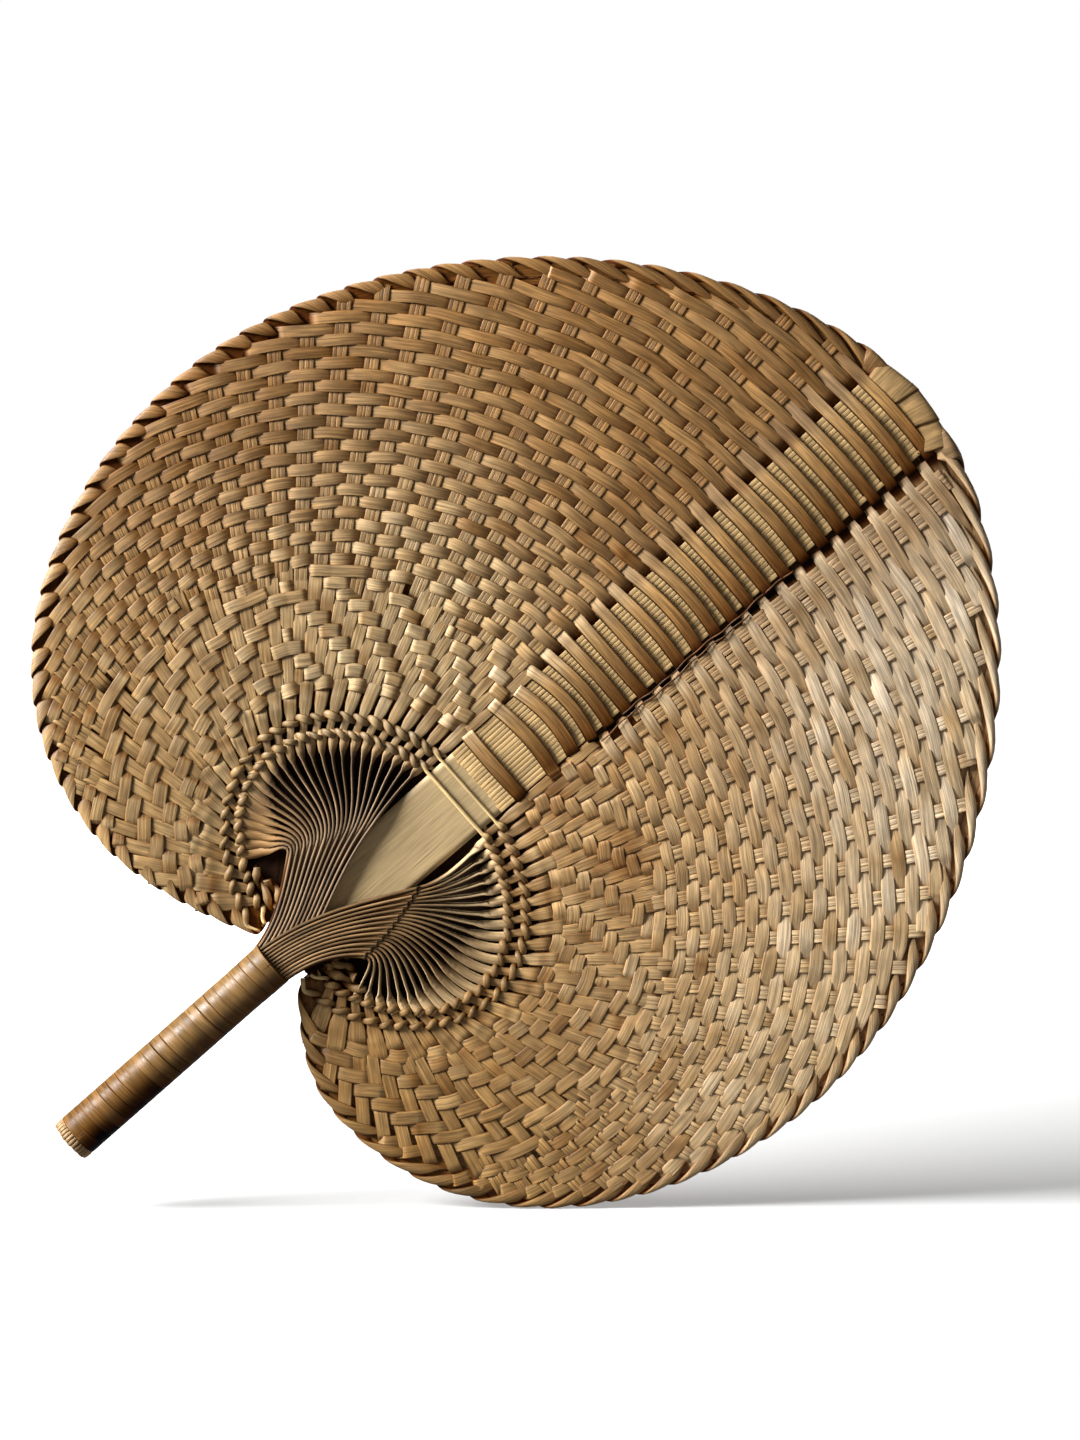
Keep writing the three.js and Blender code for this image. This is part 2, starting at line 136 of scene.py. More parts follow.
def raised(points, level):
    """Places on the flat fan, each with its level out of the front."""
    return spots(points[:, 0], points[:, 1], level)


def slat_half_width(height):
    shoulder = smooth(height, SHOULDER_START, SHOULDER_END)
    rise = np.maximum(0.0, height - SHOULDER_END) / (TIP_HEIGHT - SHOULDER_END)
    widening = (SLAT_TIP_WIDTH - SLAT_NECK_WIDTH) * rise
    return (TANG_WIDTH + (SLAT_NECK_WIDTH - TANG_WIDTH) * shoulder + widening) / 2


def bezier(*points, count=240):
    t = np.linspace(0, 1, count)[:, None]
    a, b, c, d = (np.array(p, float) for p in points)
    return (1 - t) ** 3 * a + 3 * (1 - t) ** 2 * t * b + 3 * (1 - t) * t * t * c + t**3 * d


class Line:
    """A curve on the flat fan, read by the share of its length."""

    def __init__(self, points):
        self.points = points
        self.lengths = np.concatenate([[0.0], np.cumsum(step_lengths(points))])
        self.total = self.lengths[-1]

    def at(self, share):
        where = np.clip(share, 0, 1) * self.total
        return np.stack([np.interp(where, self.lengths, self.points[:, k]) for k in (0, 1)], -1)


class Half:
    """One half of the blade. A share of 0 is beside the slat and 1 beside the handle; a distance is
    measured outward from the rim of the opening."""

    def __init__(self, side, belly, tip, lobe, low):
        self.side = side
        beside_slat = slat_half_width(RIM_HEIGHT + RIM_HALF_HEIGHT) + CLEARANCE
        start = math.acos(beside_slat / RIM_HALF_WIDTH)
        end = -math.acos(RIM_END_ACROSS / RIM_HALF_WIDTH)
        angle = np.linspace(start, end, 500)
        rim = np.stack([RIM_HALF_WIDTH * np.cos(angle), RIM_HEIGHT + RIM_HALF_HEIGHT * np.sin(angle)], -1)
        # Three curves, from the tip to the belly, the lobe and the notch
        pulls = (
            (0, TIP_HEIGHT),
            (tip, TIP_HEIGHT - TIP_DROP),
            (belly, BELLY_HEIGHT + BELLY_REACH_UP),
            (belly, BELLY_HEIGHT),
            (belly, BELLY_HEIGHT - BELLY_REACH_DOWN),
            (lobe + LOBE_REACH_OUT, low),
            (lobe, low),
            (lobe - LOBE_REACH_IN, low),
            (NOTCH_ACROSS + NOTCH_REACH_ACROSS, NOTCH_HEIGHT - NOTCH_REACH_DOWN),
            (NOTCH_ACROSS, NOTCH_HEIGHT),
        )
        border = np.concatenate([bezier(*pulls[k : k + 4])[min(k, 1) :] for k in (0, 3, 6)])
        first = np.argmax(border[:, 0] > slat_half_width(TIP_HEIGHT) + CLEARANCE)
        mirror = np.array([side, 1.0])
        self.rim = Line(rim * mirror)
        self.border = Line(border[first:] * mirror)
        self.tip = border[: first + 1] * mirror
        self.shares = np.linspace(0, 1, 1500)
        self.depths = np.linalg.norm(self.border.at(self.shares) - self.rim.at(self.shares), axis=1)

    def depth(self, share):
        return np.interp(share, self.shares, self.depths)

    def outward(self, share):
        return unit(self.border.at(share) - self.rim.at(share))

    def at(self, share, distance):
        return self.rim.at(share) + self.outward(share) * np.asarray(distance, float)[..., None]

    def along_rim(self, share):
        """Direction square to a splint, in the blade."""
        return np.cross(np.append(self.outward(share), 0.0), OUT)

    def spacing(self, distance, share, count):
        """Room that each of count splints has along a row."""
        part = distance / self.depth(share)
        return (self.rim.total + (self.border.total - self.rim.total) * part) / count

    def twill_depth(self, share):
        uneven = 3.5 * np.sin(37 * share) + 2.5 * np.sin(91 * share)
        return TWILL_DEPTH + TWILL_DEPTH_GROWTH * np.minimum(share, 0.55) + uneven

    def row_end(self, distance):
        short = self.depths < distance
        return self.shares[np.argmax(short)] if short.any() else 1.0


HALVES = [Half(**LEFT), Half(**RIGHT)]


def splint_share(index, count):
    return SHARE_OF_BORDER * (index + 0.5) / count


def outer_share(half, index):
    """Share of a splint past the twill, and its room there as a multiple of an even spread."""
    part = (index + OUTER_START) / OUTER_SPLINTS[half.side]
    slope, bend = OUTER_SPREAD[half.side]
    share = part + part * (1 - part) * (slope + bend * (1 - 2 * part))
    return SHARE_OF_BORDER * share, 1 + slope * (1 - 2 * part) + bend * (1 - 6 * part * (1 - part))


# Strips
def place(points):
    """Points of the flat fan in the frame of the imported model, in metres."""
    lean = math.radians(90 - LEAN_DEGREES)
    across = points[:, 0]
    along = points[:, 1] + WRAP_LENGTH / 2
    sideways = across * math.cos(lean) + along * math.sin(lean)
    upward = -across * math.sin(lean) + along * math.cos(lean)
    return 0.001 * np.stack([sideways, HANDLE_AXIS - points[:, 2], upward], -1)


def lay(centre, width_hint):
    """Width and normal of a strip along centre: its width near width_hint, its face to the front."""
    tangent = unit(np.gradient(centre, axis=0))
    normal = unit(np.cross(width_hint, tangent))
    return np.cross(tangent, normal), normal * np.sign(normal[:, 2:3])


class Strips:
    """Many strips gathered into one mesh, with a UV map in millimetres along and across each strip
    and a colour on each point."""

    # Points round a strip's section: how far across, how far up the crown, and which face
    REACH = np.array([-1.0, -0.84, -0.45, 0.0, 0.45, 0.84, 1.0, 1.0, -1.0])
    CROWN = np.array([0.0, 0.45, 0.86, 1.0, 0.86, 0.45, 0.0, 0.0, 0.0])
    FACE = np.array([0.5, 0.5, 0.5, 0.5, 0.5, 0.5, 0.5, -0.5, -0.5])
    EDGES = [0, 6, 7, 8]
    UV_SHIFT = 4000

    def __init__(self):
        self.points = []
        self.quads = []
        self.caps = []
        self.uvs = []
        self.colours = []
        self.count = 0

    def add(self, centre, width, normal, half_width, colour, edge=None, thickness=STRIP_THICKNESS, crown=0.0):
        """One strip along centre. Its narrow sides and its back take the colour edge, mostly its colour
        darkened as painted shade.
        """
        steps = len(centre)
        size = len(self.REACH)

        def each(value, *shape):
            return np.broadcast_to(value, (steps, *shape))[:, None]

        across = each(half_width) * self.REACH
        height = each(thickness) * self.FACE + each(crown) * self.CROWN
        ring = each(centre, 3) + each(width, 3) * across[..., None] + each(normal, 3) * height[..., None]
        shift = rng.uniform(0, self.UV_SHIFT, 2)
        uv = np.empty((steps, size, 2))
        uv[..., 0] = np.concatenate([[0.0], np.cumsum(step_lengths(centre))])[:, None] + shift[0]
        uv[..., 1] = across + shift[1]
        paint = np.repeat(each(colour, 3), size, 1)
        if edge is not None:
            paint[:, self.EDGES] = each(edge, 3)
        corner = self.count + np.arange(steps * size).reshape(steps, size)
        after = np.roll(corner, -1, 1)
        self.quads.append(np.stack([corner[:-1], after[:-1], after[1:], corner[1:]], -1).reshape(-1, 4))
        self.caps += [corner[0, ::-1], corner[-1]]
        self.points.append(ring.reshape(-1, 3))
        self.uvs.append(uv.reshape(-1, 2))
        self.colours.append(paint.reshape(-1, 3))
        self.count += steps * size

    def build(self, name, material, nodes):
        points = place(np.concatenate(self.points))
        quads = np.concatenate(self.quads)
        loops = np.concatenate([quads.ravel(), *self.caps]).astype(np.int32)
        sizes = np.concatenate([np.full(len(quads), 4), [len(cap) for cap in self.caps]])
        starts = np.concatenate([[0], np.cumsum(sizes)[:-1]]).astype(np.int32)
        mesh = bpy.data.meshes.new(name)
        for items, key, values in (
            (mesh.vertices, "co", points),
            (mesh.loops, "vertex_index", loops),
            (mesh.polygons, "loop_start", starts),
        ):
            items.add(len(values))
            items.foreach_set(key, values.ravel())
        mesh.update(calc_edges=True)
        uv = mesh.uv_layers.new(name="strip")
        uv.data.foreach_set("uv", np.concatenate(self.uvs)[loops].astype(np.float32).ravel())
        tint = mesh.color_attributes.new("tint", "FLOAT_COLOR", "POINT")
        colours = np.concatenate(self.colours)
        # The last value is the gloss: dark colours, painted shade among them, are dull
        gloss = smooth(colours @ [0.3, 0.6, 0.1], 0.02, 0.2)
        rgba = np.concatenate([colours, gloss[:, None]], 1)
        tint.data.foreach_set("color", rgba.astype(np.float32).ravel())
        mesh.polygons.foreach_set("use_smooth", np.ones(len(sizes), bool))
        mesh.validate()
        mesh.materials.append(material)
        piece = bpy.data.objects.new(name, mesh)
        bpy.context.collection.objects.link(piece)
        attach(piece, "root")
        if nodes:
            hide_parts(*nodes)


# Colours of dried leaf, as linear values
def leaf(red, green, blue):
    value = np.array([red, green, blue], float) / 255
    return np.where(value <= 0.04045, value / 12.92, ((value + 0.055) / 1.055) ** 2.4)


# Near-black leaf colour used as painted shade: dark strips laid where the weave shows only shade
SHADE = leaf(34, 21, 11)
STRAND = leaf(226, 196, 138)
SLAT_BOARD = leaf(190, 164, 120)
SLAT_RIDGE = leaf(200, 166, 112)
SLAT_ROW = leaf(170, 132, 80)
SLAT_THREAD = leaf(104, 68, 38)
# Dark brown of a splint beside the slat, used as painted shade
BESIDE_SLAT = leaf(62, 40, 21)
PALE_END = leaf(222, 198, 162)
NECK_FACE = leaf(46, 29, 15)
NECK_TAN_FACE = leaf(198, 138, 66)
NECK_RIDGE = {-1: leaf(122, 98, 72), 1: leaf(126, 97, 62)}
NECK_PALE_RIDGE = leaf(232, 200, 152)
NECK_TAN_RIDGE = leaf(160, 120, 70)
NECK_END = {-1: leaf(184, 150, 104), 1: leaf(216, 182, 132)}
NECK_BACK = leaf(132, 98, 58)
NECK_THREAD = leaf(46, 32, 18)
TIP_TAB = leaf(186, 150, 98)
WINDING = leaf(118, 88, 48)
BUTT_END = leaf(160, 126, 80)
# Tones of the leaf round ten places on the flat fan: partly its own colour and partly painted light and
# shade, such as the pale sheen over the right half and the darker top left. Most began as median colours
# of parts of the photograph, and all were changed after comparing renders with it
TONES = (
    (-149, 88, leaf(128, 88, 40)),
    (-98, 220, leaf(146, 106, 56)),
    (-109, 38, leaf(155, 122, 75)),
    (-71, 98, leaf(168, 142, 101)),
    (-20, 245, leaf(145, 106, 57)),
    (90, 227, leaf(230, 206, 171)),
    (133, 128, leaf(222, 191, 146)),
    (48, 150, leaf(176, 137, 85)),
    (62, 70, leaf(168, 130, 79)),
    (91, 16, leaf(162, 123, 68)),
)
TONE_REACH = 58.0
# Dark places in the weave: where, how wide, how dark
DARK_PATCHES = ((55.0, 117.0, 9.0, 0.5), (22.0, 112.0, 7.0, 0.4))
# Shade between strips turns leaf towards deep brown; darker leaf is browner, paler leaf greyer
SHADE_TINT = np.array([0.88, 1.32, 2.1])
MOTTLE_TINT = np.array([0.8, 1.15, 1.8])
STAINED_SHARE = 0.05
STAINED_DEPTH = 0.35


def near(points, across, along, reach):
    away = (points[:, 0] - across) ** 2 + (points[:, 1] - along) ** 2
    return np.exp(-away / reach**2)


def dim(colour, amount):
    """Darken a leaf colour as shade does between strips."""
    left = np.clip(1 - np.asarray(amount, float), 0, 1)[..., None]
    return colour * left**SHADE_TINT


def blend(colour, other, amount):
    return colour + (other - colour) * np.asarray(amount, float)[..., None]


def tone(points, paleness=0.0):
    """Colour of the weave at places on the flat fan."""
    total = np.zeros(len(points))
    colour = np.zeros((len(points), 3))
    for across, along, shade in TONES:
        weight = near(points, across, along, TONE_REACH) + 1e-6
        total += weight
        colour += weight[:, None] * shade
    colour = colour / total[:, None] * (1 + paleness)
    for across, along, reach, depth in DARK_PATCHES:
        colour = dim(colour, depth * near(points, across, along, reach))
    return colour


def vary(amount):
    return 1 + rng.normal(0, amount)


def mottled(stops, places, amount):
    """Factor near 1 that changes from one crossing to the next."""
    change = rng.normal(0, amount, len(stops))
    change = change - STAINED_DEPTH * (rng.uniform(size=len(stops)) < STAINED_SHARE)
    return np.interp(places, stops, 1 + change)[:, None] ** MOTTLE_TINT


def to_right(across):
    """0 on the left half and 1 well inside the right half, where strips get less painted shade."""
    return smooth(across, 0, 60)


# Over and under: 1 where a row passes over, -1 where it passes under
def plain(row, splint):
    return 1.0 if (row + splint) % 2 == 0 else -1.0


def twill(row, splint):
    return 1.0 if (abs(splint - TWILL_TURN) + row) % 4 < 2 else -1.0


def over_rim_splint(row, splint):
    return -1.0 if row == 0 else plain(row, splint)


def over_slat(row):
    """Rows pass over and under the slat in turn, apart from the first three."""
    return 1.0 if row == 1 or row > 2 and row % 2 == 0 else -1.0


def row_distances():
    inner = np.arange(FIRST_ROW, TWILL_DEPTH, TWILL_PITCH)
    room = min(half.depths[0] for half in HALVES)
    outer = np.arange(inner[-1] + (TWILL_PITCH + OUTER_PITCH) / 2, room - 2.0, OUTER_PITCH)
    return np.concatenate([inner, outer])


ROWS = row_distances()


def rows_between(low, high):
    return [row for row, distance in enumerate(ROWS) if low < distance < high]


def crossings(half, row):
    """Shares and signs of the splints that a row passes on one half, from the slat outward."""
    distance = ROWS[row]
    end = half.row_end(distance + ROW_END)
    if distance < RIM_ZONE:
        found = [(splint_share(k, RIM_SPLINTS), over_rim_splint(row, k)) for k in range(RIM_SPLINTS)]
    else:
        inner = [(splint_share(k, TWILL_SPLINTS), twill(row, k)) for k in range(TWILL_SPLINTS)]
        outer = [(outer_share(half, k)[0], plain(row, k + 1)) for k in range(OUTER_SPLINTS[half.side])]
        found = [(share, sign) for share, sign in inner if distance <= half.twill_depth(share)]
        found += [(share, sign) for share, sign in outer if distance > half.twill_depth(share)]
    return sorted((share, sign) for share, sign in found if share < end - LAST_GAP), end


def between(stops, steps):
    """Places at the stops and at even steps from each one to the next."""
    order = np.arange((len(stops) - 1) * steps + 1) / steps
    return np.interp(order, np.arange(len(stops)), stops)


def wave(stops, heights, steps):
    """Smooth path through heights at stops, sagging a little where two neighbours are alike."""
    part = np.arange(steps) / steps
    sag = 1 - 0.2 * np.sin(math.pi * part)
    levels = []
    for here, there in zip(heights, heights[1:]):
        level = here + (there - here) * smooth(part, 0.02, 0.96)
        levels.append(level * sag if here * there > 0 else level)
    return between(stops, steps), np.concatenate([*levels, heights[-1:]])


def fall(high, low, part, edge, edge_level):
    """Level of a strip from the top of a float down to its place under the next crossing: an arch as
    far as the edge of the strip there, then a quick dive."""
    side = high * edge_level
    arch = high - (high - side) * (part / edge) ** 2
    dive = side - (side - low) * smooth(part, edge, 1.0)
    return np.where(part < edge, arch, dive)


def floats(stops, heights, steps, edges, edge_level):
    """Path of a strip through heights at stops, arched wherever it lies on top."""
    part = np.arange(steps) / steps
    levels = []
    for here, there, edge in zip(heights, heights[1:], np.broadcast_to(edges, len(stops) - 1)):
        if here > 0 > there:
            levels.append(fall(here, there, part, edge, edge_level))
        elif there > 0 > here:
            levels.append(fall(there, here, 1 - part, edge, edge_level))
        else:
            bulge = 0.1 * np.sign(here) * np.sin(math.pi * part)
            levels.append(here + (there - here) * part + bulge)
    return between(stops, steps), np.concatenate([*levels, heights[-1:]])


# Wefts
ROW_RISE = {-1: 1.45, 1: 1.2}
ROW_DIP = 0.75
ROW_END_LEVEL = -0.6
ROW_EDGE_LEVEL = 0.35
ROW_END_EDGE = 0.45
TWILL_EDGE = 0.52
SLAT_EDGE = 0.2
SLAT_RISE = 1.4
ROW_STEPS = 9
ROW_MOTTLE = 0.14
BRIDGE_STEPS = 13
BRIDGE_PULL = 0.36
BRIDGE_ARCH = 1.1
ROW_SHADOW_DROP = 0.55
ROW_SHADOW_SHIFT = 0.7


def tucked_in(levels):
    return smooth(-levels, -0.5, 0.5)


def over_board(across):
    """1 on the slat and 0 beside it."""
    return 1 - smooth(np.abs(across), 14, 19)


def half_row(half, row):
    """Places, levels, mottling and widening of a row on one half, from the slat outward."""
    distance = ROWS[row]
    found, end = crossings(half, row)
    stops = [0.0] + [share for share, _ in found] + [end]
    heights = [over_slat(row) * SLAT_RISE]
    heights += [ROW_RISE[half.side] if sign > 0 else -ROW_DIP for _, sign in found]
    heights.append(ROW_END_LEVEL)
    gaps = step_lengths(half.at(np.array(stops), distance))
    reach = np.clip(1 - (OUTER_HALF_WIDTH[half.side] + CLEARANCE) / gaps, 0.5, 0.85)
    in_twill = distance <= half.twill_depth(np.array(stops[1:]))
    edges = np.where(in_twill, TWILL_EDGE, reach)
    edges[-1] = ROW_END_EDGE
    if over_slat(row) > 0 and half.side > 0:
        edges[0] = SLAT_EDGE
    shares, levels = floats(stops, heights, ROW_STEPS, edges, ROW_EDGE_LEVEL)
    wander = 0.3 * np.sin(shares * 41 + 0.4 * row) + 0.2 * np.sin(shares * 97 - 0.5 * row)
    past_twill = smooth(distance - half.twill_depth(shares), 2.0, 8.0)
    wide = past_twill * smooth(np.interp(shares, stops[1:], gaps), 6.5, 10.0)
    return half.at(shares, distance + wander), levels, mottled(stops, shares, ROW_MOTTLE), wide


def joined(left, right, row):
    """Both halves of a row with the bridge between them, where it bends on over or under the slat."""
    start = left[0][0]
    finish = right[0][0]
    pull = BRIDGE_PULL * np.linalg.norm(finish - start)
    into = start + pull * unit(start - left[0][3])
    away = finish - pull * unit(right[0][3] - finish)
    part = np.linspace(-1, 1, BRIDGE_STEPS)[1:-1]
    bridge = (
        bezier(start, into, away, finish, count=BRIDGE_STEPS)[1:-1],
        over_slat(row) * (SLAT_RISE + BRIDGE_ARCH * (1 - part**2)),
        np.full((len(part), 3), rng.normal(1, 0.1)),
        0 * part,
    )
    return (np.concatenate([a[::-1], b, c]) for a, b, c in zip(left, bridge, right))


def row_colour(flat, levels, factor, over):
    across, along = flat.T
    rightness = to_right(across)
    tucked = tucked_in(levels)
    on_slat = over_board(across)
    colour = tone(flat, rng.normal(0, 0.07)) * factor
    # Painted shade and highlight: over the slat a row darkens, most towards its right end and, higher up,
    # beside the right edge of the slat; an over row is pale just left of the slat, and the next float of the
    # right half starts pale
    colour = blend(colour, SLAT_ROW * factor, on_slat)
    darker = on_slat * (0.1 + 0.5 * smooth(across, -12, 17))
    if over:
        paler = smooth(-across, 6, 16) * (1 - smooth(-across, 26, 32))
        paler = paler * (1 - 0.6 * smooth(along, 150, 200)) * rng.uniform(0.4, 1.1)
        beside = (1 - smooth(np.abs(across - 19), 3, 7)) * smooth(along, 120, 140)
        darker = np.maximum(darker, 0.75 * beside)
    else:
        paler = (1 - smooth(np.abs(across - 20), 2, 9)) * smooth(along, 105, 135)
    colour = blend(colour, PALE_END, 0.45 * paler * (1 - tucked))
    # Painted highlight and shade: each float is pale at its rising left end and dark at its falling right end
    run = np.gradient(levels) / np.linalg.norm(np.gradient(flat, axis=0), axis=1)
    paler = (0.28 - 0.2 * rightness) * smooth(run, 0.02, 0.35) * (1 - tucked)
    darker = darker + (0.42 - 0.34 * rightness) * smooth(-run, 0.02, 0.35)
    # Painted shade where a row dives under, less on the right half
    return dim(colour * (1 + paler)[:, None], (0.8 - 0.58 * rightness) * tucked + darker * (1 - tucked))


def add_row(strips, row):
    left, right = (half_row(half, row) for half in HALVES)
    flat, levels, factor, wide = joined(left, right, row)
    slope = np.gradient(flat, axis=0)
    centre = raised(flat, levels)
    width, normal = lay(centre, raised(np.stack([-slope[:, 1], slope[:, 0]], -1), 0.0))
    on_slat = over_board(flat[:, 0])
    even = 0.53 + 0.03 * tucked_in(levels)
    spindle = 0.43 + 0.2 * smooth(levels, 0.3, 1.15)
    pitch = TWILL_PITCH if ROWS[row] < TWILL_DEPTH else OUTER_PITCH
    half_width = pitch * (even + (spindle - even) * to_right(flat[:, 0]) * wide)
    half_width = half_width * (1 - 0.05 * on_slat)
    colour = row_colour(flat, levels, factor, over_slat(row) > 0)
    strips.add(centre, width, normal, half_width, colour, dim(colour, EDGE_SHADE), crown=STRIP_CROWN)
    if over_slat(row) > 0:
        # Under each row that crosses over the slat lies a near-black strip, a little behind it and towards
        # the
        # handle: the row's painted shadow on the slat
        under = on_slat > 0.3
        upward = width[under] * np.sign(width[under][:, 1:2])
        lower = centre[under] - ROW_SHADOW_SHIFT * upward - ROW_SHADOW_DROP * OUT
        strips.add(lower, width[under], normal[under], half_width[under] * 0.9, SLAT_ROW * 0.12)


# Splints in the weave
SPLINT_EDGE = 0.58
SPLINT_EDGE_LEVEL = 0.75
SPLINT_RISE = {-1: 1.1, 1: 1.15}
SPLINT_PALENESS = {-1: 0.15, 1: 0.06}
SPLINT_STEPS = 5
SPLINT_TAIL = 6.0
TWILL_RISE = 1.0
RIM_RISE = 0.8
# How far from the border the splints of the twill, of the outer weave and of the rim stop
TWILL_STOP = 4.5
OUTER_STOP = 5.6
RIM_STOP = 3.5
LANE_SHARE = 0.49
# The splint beside the slat: its share of the room there, the least room, and its lanes
BESIDE_SHARE = 0.55
BESIDE_ROOM = 9.5
BESIDE_GAP = 0.5
BESIDE_LANES = ((-1.0, -0.52, 0.95), (-0.52, 0.0, 1.05), (0.0, 0.46, 0.9), (0.46, 1.0, 1.02))


def add_splint(
    strips, half, share, distances, levels, half_width, colour,
    shift=0.0, edge_shade=EDGE_SHADE, thickness=STRIP_THICKNESS, crown=SPLINT_CROWN,
):
    side = half.along_rim(share)
    centre = raised(half.at(share, distances), levels)
    centre = centre + side * np.broadcast_to(shift, len(centre))[:, None]
    width, normal = lay(centre, side)
    strips.add(centre, width, normal, half_width, colour, dim(colour, edge_shade), thickness, crown)


def splint_course(half, share, rows, signs, rise, last):
    """Distances, levels and colours of a splint through rows that it passes over or under."""
    limit = half.depth(share) - 2.0
    stops = [ROWS[rows[0]] - SPLINT_TAIL] + [ROWS[row] for row in rows]
    stops.append(min(stops[-1] + SPLINT_TAIL, limit))
    heights = [ROW_END_LEVEL] + [-sign * rise for sign in signs] + [last]
    distances, levels = floats(stops, heights, SPLINT_STEPS, SPLINT_EDGE, SPLINT_EDGE_LEVEL)
    points = half.at(share, distances)
    # Painted shade where the splint dives under the rows, less on the right half
    shade = 0.03 + (0.55 - 0.38 * to_right(points[:, 0])) * smooth(-levels, -0.3 * rise, 0.9 * rise)
    colour = tone(points, rng.normal(SPLINT_PALENESS[half.side], 0.07)) * mottled(stops, distances, 0.09)
    return distances, levels, dim(colour, shade)


def add_twill_splint(strips, half, index):
    share = splint_share(index, TWILL_SPLINTS)
    rows = rows_between(RIM_ZONE, min(half.twill_depth(share), half.depth(share) - TWILL_STOP))
    if len(rows) < 2:
        return
    signs = [twill(row, index) for row in rows]
    distances, levels, colour = splint_course(half, share, rows, signs, TWILL_RISE, ROW_END_LEVEL)
    half_width = np.minimum(0.47 * half.spacing(distances, share, TWILL_SPLINTS), 2.4)
    add_splint(strips, half, share, distances, levels, half_width, colour)


def add_outer_splint(strips, half, index):
    """Splint past the twill, which shows as three narrow strips side by side."""
    share, room = outer_share(half, index)
    rows = rows_between(max(half.twill_depth(share), RIM_ZONE), half.depth(share) - OUTER_STOP)
    if len(rows) < 2:
        return
    signs = [plain(row, index + 1) for row in rows]
    distances, levels, base = splint_course(half, share, rows, signs, SPLINT_RISE[half.side], -0.5)
    spacing = room * half.spacing(distances, share, OUTER_SPLINTS[half.side])
    half_width = np.minimum(0.31 * spacing, OUTER_HALF_WIDTH[half.side])
    edges = [-1.0, rng.uniform(-0.5, -0.15), rng.uniform(0.15, 0.5), 1.0]
    for low, high in zip(edges, edges[1:]):
        colour = base * vary(0.08)
        lane = half_width * (low + high) / 2
        size = half_width * (high - low) * LANE_SHARE
        add_splint(strips, half, share, distances, levels, size, colour, lane)


def add_beside_splint(strips, half):
    """Wide splint, split in four, between the slat and the first outer splint where these stand far apart."""
    depths = np.linspace(RIM_ZONE, half.depth(0.0) - OUTER_STOP, 80)
    first_across, first_along = half.at(outer_share(half, 0)[0], depths).T
    room = first_across - slat_half_width(first_along)
    inner = BESIDE_SHARE * room - OUTER_HALF_WIDTH[half.side]
    outer = room - OUTER_HALF_WIDTH[half.side] - BESIDE_GAP

    def beside(along):
        return slat_half_width(along) + np.interp(along, first_along, (inner + outer) / 2)

    stops = []
    heights = []
    for row, distance in enumerate(ROWS):
        points = half.at(np.linspace(0.0, 0.2, 80), distance)
        along = np.interp(0.0, points[:, 0] - beside(points[:, 1]), points[:, 1])
        if np.interp(along, first_along, room) > BESIDE_ROOM and along < first_along[-1]:
            stops.append(along)
            heights.append(SPLINT_RISE[half.side] * over_slat(row))
    along, levels = floats(stops, heights, SPLINT_STEPS, SPLINT_EDGE, SPLINT_EDGE_LEVEL)
    centre = spots(beside(along), along, levels)
    colour = tone(centre, SPLINT_PALENESS[half.side])
    # Painted shade where the splint dives under the rows
    colour = dim(colour, 0.05 + 0.3 * smooth(-levels, -0.3, 0.9))
    width, normal = lay(centre, ACROSS)
    half_width = np.interp(along, first_along, (outer - inner) / 2)
    for low, high, factor in BESIDE_LANES:
        lane = centre + width * (half_width * (low + high) / 2)[:, None]
        size = half_width * (high - low) * LANE_SHARE
        strips.add(lane, width, normal, size, colour * factor, dim(colour, EDGE_SHADE), crown=SPLINT_CROWN)


def add_rim_splint(strips, half, index):
    """Splint from the rim of the opening through the twining to the first rows."""
    share = splint_share(index, RIM_SPLINTS)
    end = min(RIM_ZONE + 3.0, half.depth(share) - RIM_STOP)
    path = [(0.5, -0.2), (4.0, 0.0), (10.5, 0.3)]
    for row in rows_between(0.0, RIM_ZONE):
        path.append((ROWS[row], -over_rim_splint(row, index) * RIM_RISE))
    path = [(stop, height) for stop, height in path if stop < end - 1.0] + [(end, -0.7)]
    stops, heights = (list(values) for values in zip(*path))
    distances, levels = wave(stops, heights, SPLINT_STEPS)
    spacing = half.spacing(distances, share, RIM_SPLINTS)
    half_width = np.minimum(spacing * (0.27 + 0.11 * smooth(distances, 9.0, 13.0)), 3.4)
    colour = tone(half.at(share, distances), rng.normal(0.04, 0.08)) * mottled(stops, distances, ROW_MOTTLE)
    # Painted shade where the splint dives under the rows
    colour = dim(colour, 0.65 * smooth(-levels, -0.2, 0.6))
    add_splint(
        strips, half, share, distances, levels, half_width, colour, edge_shade=0.6, thickness=0.34, crown=0.22
    )


# Neck
NECK_COUNT = 24
NECK_FIRST_SHARE = 0.012
NECK_LAST_SHARE = {-1: 0.82, 1: 0.88}
NECK_STEPS = 44
NECK_START = -10.0
NECK_DEPTH = 2.8
NECK_BASE = {-1: SLAT_THICKNESS / 2 + CLEARANCE, 1: SLAT_THICKNESS / 2 + CLEARANCE + NECK_DEPTH + 0.6}
ROOT_HALF_SPAN = 7.3
SHADED_COUNT = 28
SHADED_LEVEL = -1.3
SHADED_STEPS_BEYOND = 8
# Where the strips leave the bundle, and which way, beside the slat and beside the notch
WAISTS = {
    -1: {"slat": (12.5, 58.0), "notch": (25.5, 29.0), "slat_way": (0.2, 0.98), "notch_way": (0.62, 0.78)},
    1: {"slat": (13.5, 57.0), "notch": (19.5, 25.0), "slat_way": (0.45, 0.89), "notch_way": (0.72, 0.69)},
}


def bend_between(start, start_way, end, end_way):
    reach = 0.38 * np.linalg.norm(end - start)
    return bezier(start, start + start_way * reach, end - end_way * reach, end, count=150)


